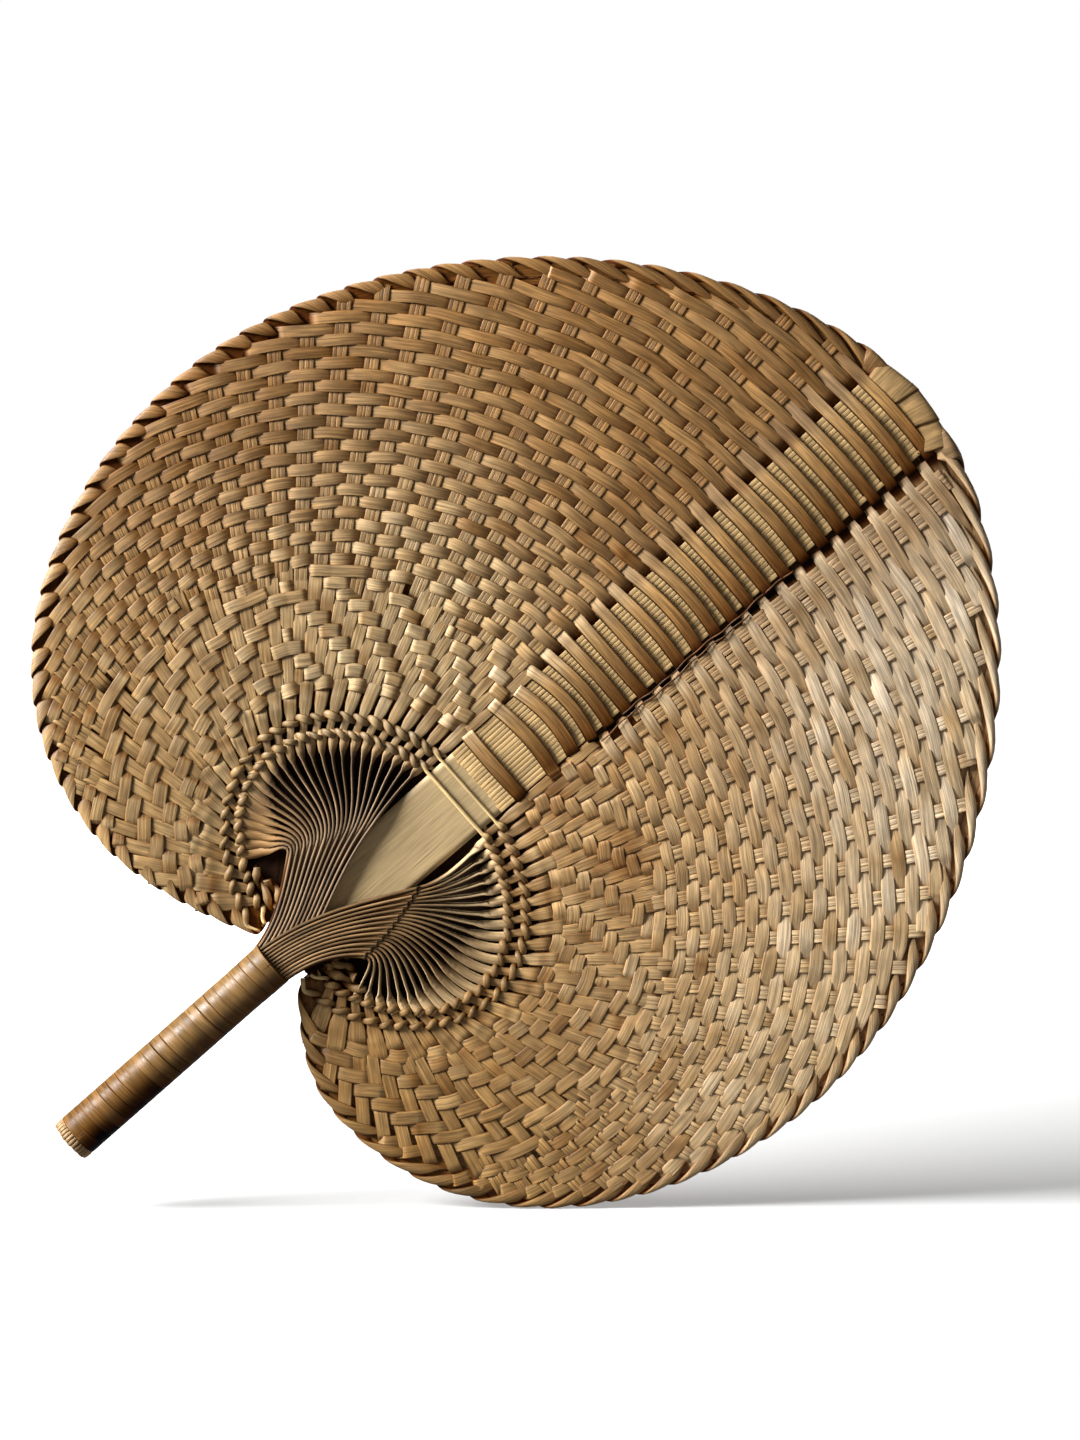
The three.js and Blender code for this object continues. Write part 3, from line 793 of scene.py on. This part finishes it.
def neck_path(half, part):
    """Flat path of a neck strip, how much of it is bundled, and its share at the rim. Part runs from 0
    beside the slat to 1 beside the notch."""
    waist = {name: np.array(value) * [half.side, 1.0] for name, value in WAISTS[half.side].items()}
    share = NECK_FIRST_SHARE + (NECK_LAST_SHARE[half.side] - NECK_FIRST_SHARE) * part
    start = np.array([half.side * ROOT_HALF_SPAN * (2 * part - 1), NECK_START])
    bend = part**0.85
    middle = waist["slat"] * (1 - bend) + waist["notch"] * bend
    way = waist["slat_way"] * (1 - bend) + waist["notch_way"] * bend
    lower = bend_between(start, np.array([0.0, 1.0]), middle, way)
    upper = bend_between(middle, way, half.at(share, 3.0), half.outward(share))
    path = Line(np.concatenate([lower, upper[1:]]))
    return path, step_lengths(lower).sum() / path.total, share


def add_neck(strips, half, index):
    """Strip that stands on edge in the bundle and lies down near the rim. The strips that lie down
    early show a tan face."""
    part = (index + 0.5) / NECK_COUNT
    path, parting, _ = neck_path(half, part)
    along = np.linspace(0, 1, NECK_STEPS)
    free = np.clip((along - parting) / (1 - parting), 0, 1)
    if half.side < 0:
        early = smooth(part, 0.55, 1.0)
        flat_from = 0.76 - 0.56 * early
    else:
        early = 0.5 * smooth(part, 0.2, 0.5) * (1 - smooth(part, 0.6, 0.8))
        flat_from = 0.72 - 0.44 * early
    flat_at = flat_from + 0.16 + 0.24 * early
    turn = 1 - 0.14 * smooth(free, 0.0, 0.3) - 0.86 * smooth(free, flat_from, flat_at)
    # In the bundle every second strip lies deeper
    sunk = (index % 2) * (1 - smooth(along, parting * 0.75, parting * 1.1))
    level = (NECK_BASE[half.side] + NECK_DEPTH / 2 - sunk) * (1 - smooth(free, 0.1, 0.9))
    centre = raised(path.at(along), level + 0.35 * smooth(free, 0.6, 0.95))
    tangent = unit(np.gradient(centre, axis=0))
    angle = (half.side * turn * math.pi / 2)[:, None]
    width = np.cos(angle) * unit(np.cross(OUT, tangent)) - np.sin(angle) * OUT
    half_width = (NECK_DEPTH + 0.5 * smooth(free, 0.3, 1.0)) / 2
    thickness = 0.92 - 0.42 * smooth(free, 0.0, 0.5)
    # The broad faces are dark brown, partly the leaf's own colour and partly painted shade between the strips
    face = blend(NECK_FACE, NECK_TAN_FACE, early) * vary(0.15)
    # Painted shade on the faces along the middle of their free run
    face = dim(face, 0.5 * smooth(free, 0.0, 0.2) * (1 - smooth(free, 0.6, 0.9)) * (1 - early))
    # Painted shade on the strips that lie deeper in the bundle
    ridge = dim(NECK_RIDGE[half.side] * vary(0.2), 0.75 * sunk)
    # On the right the free edges turn pale: painted light where the raised bundle shades them
    if half.side > 0:
        ridge = blend(ridge, NECK_PALE_RIDGE, 0.8 * smooth(free, 0.1, 0.6))
    ridge = blend(ridge, NECK_TAN_RIDGE, early * smooth(free, 0.1, 0.5))
    end = 0.85 * smooth(free, 0.74, 0.9)
    face = blend(face, NECK_END[half.side], end)
    ridge = blend(ridge, NECK_END[half.side], end)
    strips.add(centre, width, np.cross(width, tangent), half_width, face, ridge, thickness)


def add_thread(strips, centre, half_width, thickness, colour):
    width, normal = lay(centre, ACROSS)
    strips.add(centre, width, normal, half_width, colour, None, thickness, STRIP_CROWN)


def add_neck_thread(strips):
    """Dark thread where the strips of the front bundle part."""
    part = np.linspace(0, 1, 60)
    start = np.array(WAISTS[1]["notch"])
    end = np.array(WAISTS[1]["slat"])
    points = start + (end - start) * part[:, None]
    points[:, 0] += 0.5 * np.sin(part * 70) + 1.2 * np.sin(part * math.pi)
    level = NECK_BASE[1] + NECK_DEPTH + 0.1 + 0.25 * np.sin(part * 140)
    add_thread(strips, raised(points, level), 0.28, 0.3, NECK_THREAD)


def add_shaded(strips, half, index):
    """Strip of the back layer, which lies flat behind the others up to the weave. Its near-black colour is
    painted shade, so that the opening shows dark.
    """
    part = index / NECK_COUNT
    path, _, share = neck_path(half, part)
    next_path, _, _ = neck_path(half, part + 1 / NECK_COUNT)
    along = np.linspace(0.3, 1, NECK_STEPS)
    beyond = np.linspace(1.5, min(FIRST_ROW + 2.0, half.depth(share) - 2.0), SHADED_STEPS_BEYOND)
    flat = np.concatenate([path.at(along), half.at(share, beyond)])
    gap = np.linalg.norm(next_path.at(along) - path.at(along), axis=1)
    gap = np.append(gap, np.full(SHADED_STEPS_BEYOND, gap[-1]))
    level = np.full(len(flat), SHADED_LEVEL)
    level[:NECK_STEPS] -= 1.2 * SHADED_LEVEL * (1 - smooth(along, 0.3, 0.55))
    centre = raised(flat, level)
    width, normal = lay(centre, np.cross(np.gradient(centre, axis=0), OUT))
    half_width = 0.2 + 0.66 * gap + (2.2 if index == 0 else 0.0)
    strips.add(centre, width, normal, half_width, SHADE * vary(0.2), crown=STRIP_CROWN)
    # Behind it lies a strip that is seen from the back of the fan
    colour = NECK_BACK * vary(0.15)
    strips.add(centre - 0.45 * OUT, width, normal, half_width * 0.8, colour)


# Twining round the opening
TWINE_ROWS = (1.6, 8.0)
TWINE_RADIUS = 0.95
TWINE_OVER_SLAT = 1.4
# Short rows inside the rim beside the notch: distance from the rim, and the splint where each starts
NOTCH_ROWS = ((-3.0, 22.3), (-7.2, 23.2), (-11.4, 24.2))
NOTCH_RADIUS = 1.1
NOTCH_RATE = 0.45
NOTCH_BACKING_LEVEL = -1.9
NOTCH_BACKING_HALF_WIDTH = 9.5
RIM_LAST = RIM_SPLINTS * 0.995 / SHARE_OF_BORDER


def twine_run(half, distance, strand, first=0.0, rate=1.0):
    """Places, levels and outward directions of one of two strands on one half, from the slat outward."""
    order = np.linspace(first, RIM_LAST, int(12 * (RIM_LAST - first)) + 2)
    share = SHARE_OF_BORDER * order / RIM_SPLINTS
    beat = math.pi * (rate * (order - 0.5) + strand)
    shift = np.sin(beat) + 0.3 * np.sin(order * 2.3 + distance)
    inside = np.minimum(distance, half.depth(share) - 2.5)
    return half.at(share, inside + shift), np.cos(beat), half.outward(share)


def add_strand(strips, points, level, out, over, radius):
    """Strand with knots in it, thinner and paler where it runs over the slat."""
    centre = raised(points, level)
    width, normal = lay(centre, raised(out, 0.0))
    swell = 1 + 0.25 * np.clip(level, -1, 1) * (1 - over)
    steps = np.arange(len(level))
    knots = np.interp(steps, steps[::9], rng.normal(1, 0.17, len(steps[::9])))
    # Painted shade where the strand dips behind
    colour = dim(tone(points, -0.3) * knots[:, None], 0.75 * smooth(-level, -0.7, 0.6))
    colour = blend(colour, STRAND, over)
    size = radius * swell * knots * (1 - 0.35 * over)
    strips.add(centre, width, normal, size, colour, dim(colour, 0.6), size * 0.8, size * 0.5)


def add_twine(strips, distance, strand):
    left, right = (twine_run(half, distance, strand) for half in HALVES)
    points, level, out = (np.concatenate([a[::-1], b]) for a, b in zip(left, right))
    over = 1 - smooth(np.abs(points[:, 0]), 14, 18)
    level = level * (1 - over) + (TWINE_OVER_SLAT if strand == 0 else -TWINE_OVER_SLAT) * over
    add_strand(strips, points, level, out, over, TWINE_RADIUS)


def add_notch_twine(strips, half, distance, first):
    """Short twining inside the rim beside the notch, where no neck strips reach."""
    for strand in (0, 1):
        points, level, out = twine_run(half, distance, strand, first, NOTCH_RATE)
        add_strand(strips, points, level, out, np.zeros(len(level)), NOTCH_RADIUS)


def add_notch_backing(strips, half):
    """Near-black strip behind the twining beside the notch: painted shade, so that the gaps there show dark.
    """
    share = np.linspace(0.84, 0.995, 14)
    points = half.at(share, np.minimum(-4.0, half.depth(share) - 12.0))
    out = raised(half.outward(share), 0.0)
    strips.add(raised(points, NOTCH_BACKING_LEVEL), out, OUT, NOTCH_BACKING_HALF_WIDTH, SHADE)


# Border
EDGE_DEPTH = 6.2
BORDER_RISE = 0.95
TAB_TILT = 0.1
TAB_THICKNESS = 0.35
TAB_STEPS = 31
NARROWING = {-1: 1.0, 1: 0.45}
CORE_HALF_WIDTH = EDGE_DEPTH * 0.5 + 1.2
CORE_THICKNESS = 0.7
CORE_INSET = 0.4
# Wide strips over the tip: place on it and width
TIP_TABS = ((0.22, 18.5), (0.59, 17.5), (0.93, 13.0))
# Their shape, as add_tab takes it: slant, depth, rise, tilt, bulge, painted shade and width at the root
TIP_SHAPE = (0.12, 12.0, 1.7, 0.04, 0.3, 0.15, 0.3)


def border_frame(line, side, share):
    """Points of the border, and the directions along it and straight out of it, in the blade."""
    along = unit(line.at(share + 0.002) - line.at(share - 0.002))
    out = side * np.stack([-along[:, 1], along[:, 0]], -1)
    return raised(line.at(share), 0.0), raised(along, 0.0), raised(out, 0.0)


def add_tab(strips, line, side, place_on, pitch, colour, shape):
    """Strip that comes out of the weave, wraps slantwise round the border and goes back in behind."""
    slant, depth, rise, tilt, bulge, dark, root = shape
    turn = np.linspace(0, 2, TAB_STEPS)
    share = np.clip((place_on + (turn - 1) * slant * pitch) / line.total, 0.003, 0.997)
    spot, along, out = border_frame(line, side, share)
    swing = (turn * math.pi)[:, None]
    centre = spot - out * depth * 0.5 * (1 + np.cos(swing)) + OUT * rise * np.sin(swing)
    normal = unit(-np.cos(swing) * out * rise + np.sin(swing) * OUT * depth * 0.5)
    width = unit(along + tilt * normal)
    round_border = np.sin(turn / 2 * math.pi)
    half_width = pitch * (root + (0.46 - root) * round_border**1.5)
    # Painted shade where the tab comes out of the weave in front, and on its back
    colour = dim(colour, dark * (1 - smooth(turn, 0.05, 0.75)) + 0.5 * smooth(turn, 1.2, 1.9))
    crown = 0.15 + bulge * round_border**4
    strips.add(centre, width, normal, half_width, colour, dim(colour, 0.75), TAB_THICKNESS, crown)


def add_binding(strips, half):
    """Tabs along the border of one half, closer and steeper past the top of the left half, and the
    strip that they are bound round."""
    line = half.border
    narrow = NARROWING[half.side]
    place_on = 4.0
    while place_on < line.total - 3.0:
        share = place_on / line.total
        closeness = narrow * smooth(share, 0.15, 0.42)
        wide = (1 - narrow) * (1 - smooth(share, 0.2, 0.5))
        pitch = (13.2 + 8.0 * wide - 3.4 * closeness) * rng.uniform(0.92, 1.08)
        colour = tone(line.at(np.array([share])), rng.normal(0.05, 0.12))[0]
        slant = 1.7 - 0.9 * closeness
        bulge = 1.0 + 1.1 * wide - 0.7 * closeness
        dark = 0.3 + 0.35 * closeness
        root = 0.2 - 0.13 * closeness
        shape = (slant, EDGE_DEPTH, BORDER_RISE, TAB_TILT, bulge, dark, root)
        add_tab(strips, line, half.side, place_on, pitch, colour, shape)
        place_on += pitch
    share = np.linspace(0.004, 0.996, 260)
    spot, _, out = border_frame(line, half.side, share)
    core = spot - out * (CORE_HALF_WIDTH + CORE_INSET) - CORE_THICKNESS * OUT
    # The core is darkened: painted shade in the gaps between the tabs, more where the tabs lie close
    colour = dim(tone(line.at(share)), 0.38 + 0.37 * narrow * smooth(share, 0.15, 0.42))
    strips.add(core, out, OUT, CORE_HALF_WIDTH, colour, None, CORE_THICKNESS, STRIP_CROWN)


def add_tip(strips):
    """Wide pale strips folded over the end of the slat."""
    left, right = HALVES
    line = Line(np.concatenate([left.tip[::-1], right.tip[1:]]))
    for share, width in TIP_TABS:
        colour = TIP_TAB * vary(0.07)
        add_tab(strips, line, 1, share * line.total, width, colour, TIP_SHAPE)


# Materials
def fill(tree, inputs, values):
    """Set the inputs of a node, or link them where the value is the output of another node."""
    for name, value in values.items():
        if isinstance(value, bpy.types.NodeSocket):
            tree.links.new(value, inputs[name])
        else:
            inputs[name].default_value = value


def add_node(tree, kind, output, values, **settings):
    """One output of a new node, whose inputs are filled with values."""
    node = tree.nodes.new(kind)
    for name, value in settings.items():
        setattr(node, name, value)
    fill(tree, node.inputs, values)
    return node.outputs[output]


def map_range(tree, value, low, high, start=0.0, end=1.0):
    """Output that spreads a value between low and high."""
    values = {"Value": value, "From Min": start, "From Max": end, "To Min": low, "To Max": high}
    return add_node(tree, "ShaderNodeMapRange", "Result", values)


def camera_ray(tree):
    return add_node(tree, "ShaderNodeLightPath", "Is Camera Ray", {})


def new_material(name):
    material = bpy.data.materials.new(name)
    material.use_nodes = True
    return material, material.node_tree, material.node_tree.nodes["Principled BSDF"].inputs


def strip_material(name, roughness, gloss, fibre, blotch, relief):
    """Leaf with fibres along the strip, blotches, and its colour and gloss from the mesh."""
    material, tree, inputs = new_material(name)
    uv = add_node(tree, "ShaderNodeUVMap", "UV", {}, uv_map="strip")
    colour = add_node(tree, "ShaderNodeAttribute", "Color", {}, attribute_name="tint")
    shine = colour.node.outputs["Alpha"]

    def grain(along, across, detail):
        scale = (along, across, 1.0)
        spot = add_node(tree, "ShaderNodeMapping", "Vector", {"Vector": uv, "Scale": scale})
        values = {"Vector": spot, "Scale": 1.0, "Detail": detail}
        return add_node(tree, "ShaderNodeTexNoise", "Fac", values, noise_dimensions="2D")

    def spread(value, low, high):
        return map_range(tree, value, low, high, 0.3, 0.7)

    broad = grain(0.06, 1.2, 3.0)
    fine = grain(0.04, 3.2, 2.0)
    stain = grain(0.1, 0.25, 2.0)
    for value, low, high in (
        (broad, 1 - fibre, 1 + fibre * 0.7),
        (fine, 1 - fibre * 0.9, 1 + fibre * 0.6),
        (stain, 1 - blotch, 1 + 0.7 * blotch),
    ):
        values = {0: colour, "Scale": spread(value, low, high)}
        colour = add_node(tree, "ShaderNodeVectorMath", "Vector", values, operation="SCALE")
    bump = {"Strength": relief, "Distance": 0.0002, "Height": fine}
    fill(tree, inputs, {
        "Base Color": colour,
        "Specular IOR Level": map_range(tree, shine, 0.05, gloss),
        "Roughness": spread(broad, roughness - 0.1, roughness + 0.12),
        "Normal": add_node(tree, "ShaderNodeBump", "Normal", bump),
    })
    return material


leaf_strip = strip_material("leaf_strip", 0.5, 0.55, 0.34, 0.2, 0.6)
neck_strip = strip_material("neck_strip", 0.6, 0.3, 0.26, 0.2, 0.6)
wrap_strip = strip_material("wrap_strip", 0.42, 0.5, 0.24, 0.25, 0.3)
cane_strip = strip_material("cane_strip", 0.5, 0.4, 0.2, 0.15, 0.6)
slat_board = strip_material("slat_board", 0.5, 0.4, 0.14, 0.05, 0.5)

# Pieces
WEFT_NODES = sorted(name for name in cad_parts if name.startswith("weft_"))
WEFT_PIECES = 5
SLAT_END = TIP_HEIGHT - 4.0
RIDGES = 18
RIDGED_FROM = 95.5
RIDGE_LEVEL = 0.62
RIDGE_STEPS = 60
# Dark splints beside the slat, painted shade that fills the gaps there: side, reach, added reach near the
# tip, level, colour
EDGE_SPLINTS = ((-1, 2.4, 2.4, -1.9, SHADE), (1, 2.4, 2.4, -1.9, SHADE), (1, 4.4, -0.6, -0.35, BESIDE_SLAT))
# Threads along the right edge of the slat: how far from it, start and end
SLAT_THREADS = ((1.6, 150.0, 228.0), (3.4, 138.0, 206.0))
WRAP_TURNS = 22
WRAP_STEPS = 40
WRAP_THICKNESS = 0.7
BUTT_RINGS = (2.0, 3.9, 5.7, 7.4)
BUTT_STRIP = 1.45
BUTT_STEPS = 6


def build_wefts():
    for group in range(WEFT_PIECES):
        strips = Strips()
        for row in range(group, len(ROWS), WEFT_PIECES):
            add_row(strips, row)
        strips.build(f"weft_rows_{group + 1}", leaf_strip, WEFT_NODES[group::WEFT_PIECES])


def build_splints():
    for half, name in zip(HALVES, ("left", "right")):
        nodes = [f"{name}_splint_{number:02d}" for number in range(1, 15)]
        strips = Strips()
        for index in range(TWILL_SPLINTS):
            add_twill_splint(strips, half, index)
        for index in range(OUTER_SPLINTS[half.side]):
            add_outer_splint(strips, half, index)
        if half.side > 0:
            add_beside_splint(strips, half)
        for index in range(RIM_SPLINTS):
            add_rim_splint(strips, half, index)
        strips.build(f"{name}_splints", leaf_strip, nodes[:7])
        strips = Strips()
        for index in range(SHADED_COUNT):
            add_shaded(strips, half, index)
        for index in range(NECK_COUNT):
            add_neck(strips, half, index)
        if half.side > 0:
            add_neck_thread(strips)
        strips.build(f"{name}_neck_splints", neck_strip, nodes[7:])


def build_rim():
    for number, distance in enumerate(TWINE_ROWS, 1):
        strips = Strips()
        for strand in (0, 1):
            add_twine(strips, distance, strand)
        if number == 1:
            for half in HALVES:
                add_notch_backing(strips, half)
                for inner, first in NOTCH_ROWS:
                    add_notch_twine(strips, half, inner, first)
        nodes = [f"rim_twine_{number}_{strand}" for strand in "ab"]
        strips.build(f"rim_twining_{number}", cane_strip, nodes)


def build_border():
    strips = Strips()
    for half in HALVES:
        add_binding(strips, half)
    add_tip(strips)
    strips.build("border_binding", leaf_strip, ["edge_strip"])


def build_slat():
    """Slat: a pale board, ridged where it lies in the weave, with dark splints beside it as painted shade."""
    strips = Strips()
    along = np.linspace(-WRAP_LENGTH - BUTT_LENGTH + 1.0, SLAT_END, 120)
    centre = spots(0.0, along, 0.0)
    strips.add(centre, ACROSS, OUT, slat_half_width(along), SLAT_BOARD, None, SLAT_THICKNESS - 0.2)
    for ridge in range(RIDGES):
        along = np.linspace(RIDGED_FROM + rng.uniform(-0.4, 0.4), SLAT_END, RIDGE_STEPS)
        half_width = slat_half_width(along)
        across = half_width * (2 * (ridge + 0.5) / RIDGES - 1)
        centre = spots(across, along, RIDGE_LEVEL + rng.uniform(-0.06, 0.06))
        colour = SLAT_RIDGE * vary(0.1)
        colour = colour * np.interp(along, along[::6], rng.normal(1, 0.1, RIDGE_STEPS // 6))[:, None]
        size = half_width / RIDGES * 0.98
        strips.add(centre, ACROSS, OUT, size, colour, dim(colour, EDGE_SHADE), crown=0.12)
    along = np.linspace(RIDGED_FROM - 6.0, TIP_HEIGHT - 14.0, 40)
    for side, reach, added, level, colour in EDGE_SPLINTS:
        reach = reach + added * smooth(along, 130.0, 230.0)
        across = side * (slat_half_width(along) + reach - 0.6)
        strips.add(spots(across, along, level), ACROSS, OUT, reach, colour)
    strips.build("slat", slat_board, ["centre_slat"])


def build_threads():
    strips = Strips()
    for away, start, end in SLAT_THREADS:
        along = np.linspace(start, end, 90)
        across = slat_half_width(along) + away + 0.35 * np.sin(along / 5.1) + 0.2 * np.sin(along / 1.7)
        level = 1.55 + 0.3 * np.cos(along * math.pi / OUTER_PITCH)
        add_thread(strips, spots(across, along, level), 0.26, 0.26, SLAT_THREAD)
    strips.build("slat_threads", leaf_strip, [])


def build_wrap():
    """Winding round the handle. Its first and last turns lie square to the handle."""
    strips = Strips()
    turns = WRAP_TURNS + 1
    turn = np.linspace(0, 2 * math.pi * turns, turns * WRAP_STEPS)
    outward = np.stack([np.sin(turn), 0 * turn, np.cos(turn)], -1)
    pitch = WRAP_LENGTH / WRAP_TURNS
    along = -WRAP_LENGTH + pitch * (turn / (2 * math.pi) - 0.5)
    along = along + 0.3 * np.sin(turn / 5.3) * np.sin(math.pi * turn / turn[-1])
    along = np.clip(along, -WRAP_LENGTH + pitch / 2, -pitch / 2)
    radius = BUNDLE_RADIUS + 0.75 + 0.25 * smooth(along, -17.0, -2.0)
    centre = outward * radius[:, None] + spots(0.0, along, HANDLE_AXIS)
    # Darker towards the end, with patches near the end darkened by use; the underside is darkened as painted
    # shade
    handled = smooth(-along, 46, 62) * smooth(np.sin(turn + 0.35), -0.1, 0.8)
    patchy = 0.45 + 0.3 * np.sin(along / 3.7) + 0.25 * np.sin(along / 1.9 + 2 * np.cos(turn))
    underside = smooth(np.sin(turn + 0.1), 0.25, 0.95)
    shade = 0.3 * smooth(-along, 30, 92) + 0.5 * underside + 0.45 * handled * np.clip(patchy, 0, 1)
    colour = WINDING * np.interp(turn, turn[::WRAP_STEPS], rng.normal(1, 0.1, turns))[:, None]
    colour = dim(colour, shade)
    strips.add(centre, ALONG, outward, pitch * 0.52, colour, dim(colour, 0.65), WRAP_THICKNESS, 0.06)
    strips.build("handle_winding", wrap_strip, ["handle_wrap"])


def build_butt():
    """Cut ends of the splints, which show past the winding."""
    strips = Strips()
    for radius in BUTT_RINGS:
        count = int(2 * math.pi * radius / BUTT_STRIP)
        for angle in np.arange(count) * 2 * math.pi / count:
            outward = np.array([math.sin(angle), 0.0, math.cos(angle)])
            beside = np.array([math.cos(angle), 0.0, -math.sin(angle)])
            end = -WRAP_LENGTH - BUTT_LENGTH + rng.uniform(0, 0.4)
            along = np.linspace(end, -WRAP_LENGTH + 3.0, BUTT_STEPS)
            # Drawn in a little at the cut end, and more under the winding
            drawn_in = 0.3 * (1 - smooth(along, end, end + 1.5))
            drawn_in = drawn_in + 0.9 * smooth(along, -WRAP_LENGTH - 1.0, -WRAP_LENGTH + 0.5)
            centre = outward * (radius - drawn_in)[:, None] + spots(0.0, along, HANDLE_AXIS)
            colour = BUTT_END * vary(0.12)
            strips.add(centre, beside, outward, BUTT_STRIP * 0.47, colour, dim(colour, 0.7), 0.8, 0.3)
    strips.build("butt_ends", leaf_strip, [])


build_slat()
build_wefts()
build_splints()
build_rim()
build_border()
build_wrap()
build_butt()
build_threads()

# Stage, in metres
FLOOR = min(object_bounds()[0][2], cad_box[0][2])
FLOOR_CORNERS = ((-6.0, -6.0), (6.0, -6.0), (6.0, 6.0), (-6.0, 6.0))
FLOOR_MIDDLE = (0.2, 0.0, FLOOR)
CENTRE = Vector((0.1283, 0.0, 0.1162))
CAMERA_DISTANCE = 1.9
# Five degrees above level
CAMERA_WAY = Vector((0.0, -0.9962, 0.0872))
VIEW_HEIGHT = 0.504
SENSOR_HEIGHT = 36.0


def build_floor():
    """Pale floor, which throws little light back up at the fan. To the camera it glows with painted light,
    faint near the fan and white away from it.
    """
    mesh = bpy.data.meshes.new("floor")
    corners = [(x, y, FLOOR) for x, y in FLOOR_CORNERS]
    mesh.from_pydata(corners, [], [(0, 1, 2, 3)])
    floor = bpy.data.objects.new("floor", mesh)
    bpy.context.collection.objects.link(floor)
    material, tree, inputs = new_material("floor")
    seen = camera_ray(tree)
    # Painted light: the camera-only glow grows with distance from the fan
    spot = add_node(tree, "ShaderNodeTexCoord", "Object", {})
    values = {0: spot, 1: FLOOR_MIDDLE}
    away = add_node(tree, "ShaderNodeVectorMath", "Value", values, operation="DISTANCE")
    values = {0: seen, 1: map_range(tree, away, 0.1, 1.0, 0.3, 0.8)}
    fill(tree, inputs, {
        "Base Color": map_range(tree, seen, 0.12, 0.55),
        "Roughness": 0.9,
        "Specular IOR Level": 0.1,
        "Emission Color": (1, 1, 1, 1),
        "Emission Strength": add_node(tree, "ShaderNodeMath", "Value", values, operation="MULTIPLY"),
    })
    mesh.materials.append(material)


def build_world():
    """White to the camera, and dim light from all round."""
    world = bpy.data.worlds.new("studio")
    bpy.context.scene.world = world
    world.use_nodes = True
    tree = world.node_tree
    strength = map_range(tree, camera_ray(tree), 0.06, 1.0)
    fill(tree, tree.nodes["Background"].inputs, {"Color": (1, 1, 1, 1), "Strength": strength})


def aim(thing, place_at):
    thing.location = place_at
    thing.rotation_euler = (CENTRE - thing.location).to_track_quat("-Z", "Y").to_euler()
    bpy.context.collection.objects.link(thing)


def lamp(name, place_at, size, power, colour=(1, 1, 1)):
    data = bpy.data.lights.new(name, "AREA")
    data.size = size
    data.energy = power
    data.color = colour
    aim(bpy.data.objects.new(name, data), place_at)


def build_camera():
    data = bpy.data.cameras.new("camera")
    data.sensor_fit = "VERTICAL"
    data.sensor_height = SENSOR_HEIGHT
    data.lens = SENSOR_HEIGHT * CAMERA_DISTANCE / VIEW_HEIGHT
    camera = bpy.data.objects.new("camera", data)
    aim(camera, CENTRE + CAMERA_DISTANCE * CAMERA_WAY)
    bpy.context.scene.camera = camera


build_floor()
build_world()
lamp("key", (-1.2, -0.45, 0.85), 0.75, 88.0)
lamp("fill", (1.0, -1.3, 0.5), 1.2, 1.8, (1.0, 0.86, 0.68))
lamp("back", (0.3, 1.3, 0.8), 1.4, 22.0)
build_camera()
bpy.context.scene.view_settings.view_transform = "Standard"
